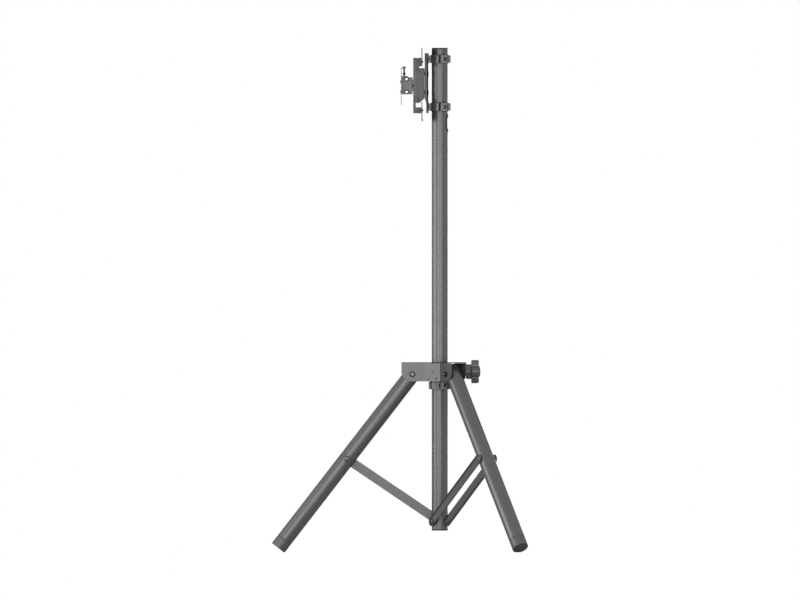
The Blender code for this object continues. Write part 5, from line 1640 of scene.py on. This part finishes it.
class STAND_OT_hub_clamp(StandOperator, Operator):
    """Build the hub's clamp: nut, shoe, threaded stud and star knob"""
    bl_idname = "stand.hub_clamp"
    bl_label = "Hub clamp"

    def execute(self, context):
        build_hub_clamp()
        build_knob()
        return {"FINISHED"}


class STAND_OT_legs(StandOperator, Operator):
    """Build the three legs with their rubber feet and domed bolts"""
    bl_idname = "stand.legs"
    bl_label = "Legs"

    def execute(self, context):
        for name, azimuth in LEGS.items():
            build_leg(name, azimuth)
        return {"FINISHED"}


class STAND_OT_braces(StandOperator, Operator):
    """Build the three stamped brace bars"""
    bl_idname = "stand.braces"
    bl_label = "Braces"

    def execute(self, context):
        for name, azimuth in LEGS.items():
            build_brace(name, azimuth)
        return {"FINISHED"}


class STAND_OT_pole_clamps(StandOperator, Operator):
    """Build the two split clamps of the screen mount with their liners and screws"""
    bl_idname = "stand.pole_clamps"
    bl_label = "Pole clamps"

    def execute(self, context):
        build_pole_clamps()
        return {"FINISHED"}


class STAND_OT_mount_plates(StandOperator, Operator):
    """Build the pole plate, the channel, the head's bracket and the two rails"""
    bl_idname = "stand.mount_plates"
    bl_label = "Mount plates"

    def execute(self, context):
        build_pole_plate()
        build_mount_channel()
        build_hook_bracket()
        build_rails()
        return {"FINISHED"}


class STAND_OT_swivel(StandOperator, Operator):
    """Build the swivel: its disc, bolt, yoke and tilt rivet"""
    bl_idname = "stand.swivel"
    bl_label = "Swivel"

    def execute(self, context):
        build_swivel()
        return {"FINISHED"}


class STAND_OT_screen_head(StandOperator, Operator):
    """Build the tilting cradle, the screen plate and its lock screw"""
    bl_idname = "stand.screen_head"
    bl_label = "Screen head"

    def execute(self, context):
        build_cradle()
        build_screen_plate()
        build_lock_screw()
        return {"FINISHED"}


class STAND_OT_fasteners(StandOperator, Operator):
    """Build the small rivets, screws, nuts and spacers"""
    bl_idname = "stand.fasteners"
    bl_label = "Small fasteners"

    def execute(self, context):
        build_fasteners()
        return {"FINISHED"}


OPERATORS = (STAND_OT_stage, STAND_OT_column, STAND_OT_foot_pivots, STAND_OT_stop_collar, STAND_OT_hub,
             STAND_OT_leg_pivots, STAND_OT_hub_clamp, STAND_OT_legs, STAND_OT_braces, STAND_OT_pole_clamps,
             STAND_OT_mount_plates, STAND_OT_swivel, STAND_OT_screen_head, STAND_OT_fasteners)
GROUPS = {"stand_shape": StandShape, "stand_finish": StandFinish, "stand_stage": StandStage}


class STAND_PT_sidebar(Panel):
    """The stand's sizes, colours and build steps"""
    bl_idname = "STAND_PT_sidebar"
    bl_label = "Floor stand"
    bl_space_type = "VIEW_3D"
    bl_region_type = "UI"
    bl_category = "Floor stand"

    def draw(self, context):
        for group in GROUPS:
            column = self.layout.column(align=True)
            values = getattr(context.scene, group)
            for key in GROUPS[group].__annotations__:
                column.prop(values, key)
        column = self.layout.column(align=True)
        for operator in OPERATORS:
            column.operator(operator.bl_idname)


def register():
    for group in GROUPS.values():
        bpy.utils.register_class(group)
    for name, group in GROUPS.items():
        setattr(bpy.types.Scene, name, PointerProperty(type=group))
    for operator in OPERATORS:
        bpy.utils.register_class(operator)
    bpy.utils.register_class(STAND_PT_sidebar)


def unregister():
    bpy.utils.unregister_class(STAND_PT_sidebar)
    for operator in reversed(OPERATORS):
        bpy.utils.unregister_class(operator)
    for name in GROUPS:
        delattr(bpy.types.Scene, name)
    for group in reversed(GROUPS.values()):
        bpy.utils.unregister_class(group)


def main():
    register()
    for step in (bpy.ops.stand.stage, bpy.ops.stand.column, bpy.ops.stand.foot_pivots,
                 bpy.ops.stand.stop_collar, bpy.ops.stand.hub, bpy.ops.stand.leg_pivots,
                 bpy.ops.stand.hub_clamp, bpy.ops.stand.legs, bpy.ops.stand.braces,
                 bpy.ops.stand.pole_clamps, bpy.ops.stand.mount_plates, bpy.ops.stand.swivel,
                 bpy.ops.stand.screen_head, bpy.ops.stand.fasteners):
        step()


if __name__ == "__main__":
    main()
